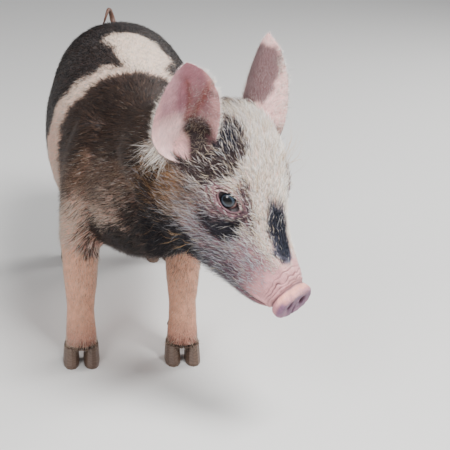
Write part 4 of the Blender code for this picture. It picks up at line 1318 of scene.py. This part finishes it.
def whiskers(surface):
    """Lashes on the upper lids, and a few long fine hairs on the brows and the chin."""
    for side_name, side in SIDES.items():
        away, eye = eye_gap(surface.middle, side)
        upper = (length_of(eye) < 0.02) & (eye[:, 1] > 0.0005) & (eye[:, 2] > 0)
        bed = Bed(surface, upper * hump(away, 0.0011, 0.0005), TUFTS["lashes"], 140 + side)
        eye = to_eye(bed.points, side)
        fan = np.stack([eye[:, 0] * 60, np.full(bed.count, 0.15), np.ones(bed.count)], axis=1)
        lie = unit(fan @ eye_axes(side).T)
        shade = blend(WHITE_HAIR, CREAM_HAIR, bed.draw.random(bed.count))
        length, droop = bed.vary(0.004, 0.0075), bed.vary(0.0, 0.25)
        grow(f"lashes_{side_name}", bed, 0.95, shade, BLADE, lie, length, np.full(bed.count, LASH_HALF_WIDE),
             np.zeros(bed.count), droop, bed.draw.normal(0, 0.4, bed.count))
    head = to_head(surface.middle)
    for name, centre, spread, count, long in WHISKERS:
        density = (surface.owner == HEAD) * np.exp(-(((head - np.array(centre)) / spread) ** 2).sum(axis=1))
        bed = Bed(surface, density, count, 145)
        lie = bed.lean(0.6)
        length, lift, droop = bed.vary(0.5, 1.0) * long, bed.lift(25, 65), bed.vary(0.1, 0.3)
        grow(name, bed, 1.0, np.tile(rgb(196, 158, 118), (count, 1)), BLADE, lie, length,
             np.full(count, WHISKER_HALF_WIDE), lift, droop, bed.draw.normal(0, 0.5, count))


# The ball's size next to its socket, how far its cornea stands out, and its gaze on the eye's own axes.
BALL_SHARE = 0.985
CORNEA_BULGE = 0.0006
GAZE = np.array([-0.16, 0.0, 1.0])


def ball(name, radius):
    """A sphere with its faces sorted, because Blender gives them in another order each run."""
    build = bmesh.new()
    bmesh.ops.create_uvsphere(build, u_segments=96, v_segments=64, radius=radius)
    build.verts.index_update()
    corners = [tuple(vertex.co) for vertex in build.verts]
    faces = sorted([vertex.index for vertex in face.verts] for face in build.faces)
    build.free()
    mesh = bpy.data.meshes.new(name)
    mesh.from_pydata(corners, [], faces)
    return mesh


def eyeball(side_name):
    """An eyeball with a blue-grey iris under a painted highlight, a dark pupil and a slight bulge of the
    cornea.
    """
    side = SIDES[side_name]
    mesh = ball(f"eyeball_{side_name}", EYE_RADIUS * BALL_SHARE)
    points = points_of(mesh)
    gaze = unit(GAZE)
    flat_x = unit(np.cross([0, 1, 0], gaze))
    looked = points @ np.stack([flat_x, np.cross(gaze, flat_x), gaze], axis=1)
    off_axis = np.arctan2(np.hypot(looked[:, 0], looked[:, 1]), looked[:, 2])
    points *= (1 + CORNEA_BULGE * ease(0.80, 0.45, off_axis) / EYE_RADIUS)[:, None]
    around = np.arctan2(looked[:, 1], looked[:, 0])
    rays = noise(np.stack([np.cos(around) * 3, np.sin(around) * 3, off_axis * 1.2], axis=1), 0.18, 71)
    white = blend(rgb(112, 84, 82), rgb(58, 34, 36), ease(0.75, 1.0, off_axis))
    oval = np.hypot(looked[:, 0] / 1.5, looked[:, 1]) / EYE_RADIUS
    colour = paint(
        blend(rgb(60, 72, 84), rgb(22, 26, 36), 0.5 + 0.5 * rays),
        # Painted highlight over the inner iris.
        (rgb(96, 112, 124), ease(0.50, 0.34, off_axis) * 0.25 * (0.5 + 0.5 * rays)),
        (rgb(12, 12, 16), ease(0.46, 0.62, off_axis)),
        (white, ease(0.66, 0.74, off_axis)),
        (rgb(4, 4, 6), ease(0.33, 0.24, oval) * (looked[:, 2] > 0)),
    )
    set_colour(mesh, "tint", colour)
    place(mesh, points @ eye_axes(side).T + eye_centre(side))
    material, tree, shader = nodes_of(f"eye_{side_name}")
    fill(tree, shader, {
        "Base Color": node(tree, "Attribute", attribute_name="tint")["Color"], "Roughness": 0.35,
        "Specular IOR Level": 0.1, "Coat Weight": 1.0, "Coat Roughness": 0.03, "Coat IOR": 1.45,
    })
    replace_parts(dress(mesh, material), f"eye_{side_name}")


def horn_material():
    """Grey-brown horn with growth rings and scuffs."""
    material, tree, shader = nodes_of("horn")
    place_of = node(tree, "TexCoord")["Object"]
    rings = node(tree, "TexWave", {"Vector": place_of, "Scale": 120.0, "Distortion": 14.0, "Detail": 3.0},
                 bands_direction="Z")["Fac"]
    grain = node(tree, "TexNoise", {"Vector": place_of, "Scale": 260.0, "Detail": 5.0})["Fac"]
    worn = node(tree, "Math", {0: rings, 1: grain}, operation="MULTIPLY")["Value"]
    ramp = tree.nodes.new("ShaderNodeValToRGB")
    ramp.color_ramp.elements[0].color = (*rgb(88, 70, 60), 1)
    ramp.color_ramp.elements[1].color = (*rgb(122, 100, 84), 1)
    fill(tree, ramp, {"Fac": worn})
    bump = node(tree, "Bump", {"Height": worn, "Strength": 0.15, "Distance": 0.0004})["Normal"]
    fill(tree, shader, {"Base Color": ramp.outputs["Color"], "Normal": bump, "Roughness": 0.48})
    return material


def dress_horn():
    material = horn_material()
    for name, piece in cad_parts.items():
        if name.startswith(("hoof", "dewclaw")):
            piece.data.materials.clear()
            piece.data.materials.append(material)


FLOOR_HALF = 30.0
LIT_POINT = Vector((0.1, 0.0, 0.18))
# Lamps: name, place, size across and power.
LAMPS = [
    ("key", (0.90, 0.45, 1.55), 0.6, 58),
    ("fill", (1.50, -0.85, 1.40), 0.6, 15),
    ("side", (-0.10, -1.90, 0.90), 1.2, 9),
    ("back", (-0.9, 1.3, 1.1), 0.8, 26),
]


def floor_and_light():
    """A plain pale floor under soft studio light."""
    build = bmesh.new()
    bmesh.ops.create_grid(build, x_segments=1, y_segments=1, size=FLOOR_HALF)
    mesh = write_out(build, bpy.data.meshes.new("floor"))
    floor = link("floor", mesh)
    material, tree, shader = nodes_of("studio_floor")
    fill(tree, shader, {"Base Color": (0.68, 0.67, 0.65, 1), "Roughness": 0.8})
    mesh.materials.append(material)
    world = bpy.data.worlds.new("studio")
    world.use_nodes = True
    sky = world.node_tree.nodes["Background"]
    fill(world.node_tree, sky, {"Color": (0.93, 0.95, 1.0, 1), "Strength": 0.36})
    bpy.context.scene.world = world
    for name, spot_at, size, power in LAMPS:
        lamp = bpy.data.lights.new(name, "AREA")
        lamp.size = size
        lamp.energy = power
        holder = link(name, lamp)
        holder.location = spot_at
        holder.rotation_euler = (LIT_POINT - Vector(spot_at)).to_track_quat("-Z", "Y").to_euler()


SENSOR = 36


def camera():
    """The photograph's view of the model."""
    back = np.array([
        math.cos(CAMERA_RISE) * math.cos(CAMERA_TURN),
        -math.cos(CAMERA_RISE) * math.sin(CAMERA_TURN),
        math.sin(CAMERA_RISE),
    ])
    right = unit(np.cross(-back, (0, 0, 1)))
    up = np.cross(right, -back)
    rolled_right = right * math.cos(CAMERA_ROLL) + up * math.sin(CAMERA_ROLL)
    rolled_up = up * math.cos(CAMERA_ROLL) - right * math.sin(CAMERA_ROLL)
    placed = np.eye(4)
    placed[:3, :3] = np.stack([rolled_right, rolled_up, back], axis=1)
    placed[:3, 3] = CAMERA_AIM + SHIFT + back * CAMERA_FAR
    lens = bpy.data.cameras.new("camera")
    lens.sensor_width = SENSOR
    lens.lens = SENSOR * FOCAL_SHARE
    holder = link("camera", lens)
    holder.matrix_world = Matrix(placed)
    bpy.context.scene.camera = holder


def main():
    camera()
    floor_and_light()
    skin, region = fused_skin()
    region = sculpt(skin, region)
    points, normals = points_of(skin.data), normals_of(skin.data)
    set_colour(skin.data, "tint", colours(points, normals, region))
    along, across, cell = unwrap(points, region)
    set_vector(skin.data, "lie", np.stack([along, across, cell], axis=1))
    skin.data.shade_smooth()
    skin.data.materials.append(skin_material())
    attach(skin, "root")
    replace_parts(skin, *FLESH_NODES)
    surface = Surface(skin.data, region)
    for coat in (body_coat, leg_coat, head_coat, ear_coat, whiskers):
        coat(surface)
    for side_name in SIDES:
        eyeball(side_name)
    dress_horn()
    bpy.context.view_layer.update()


main()
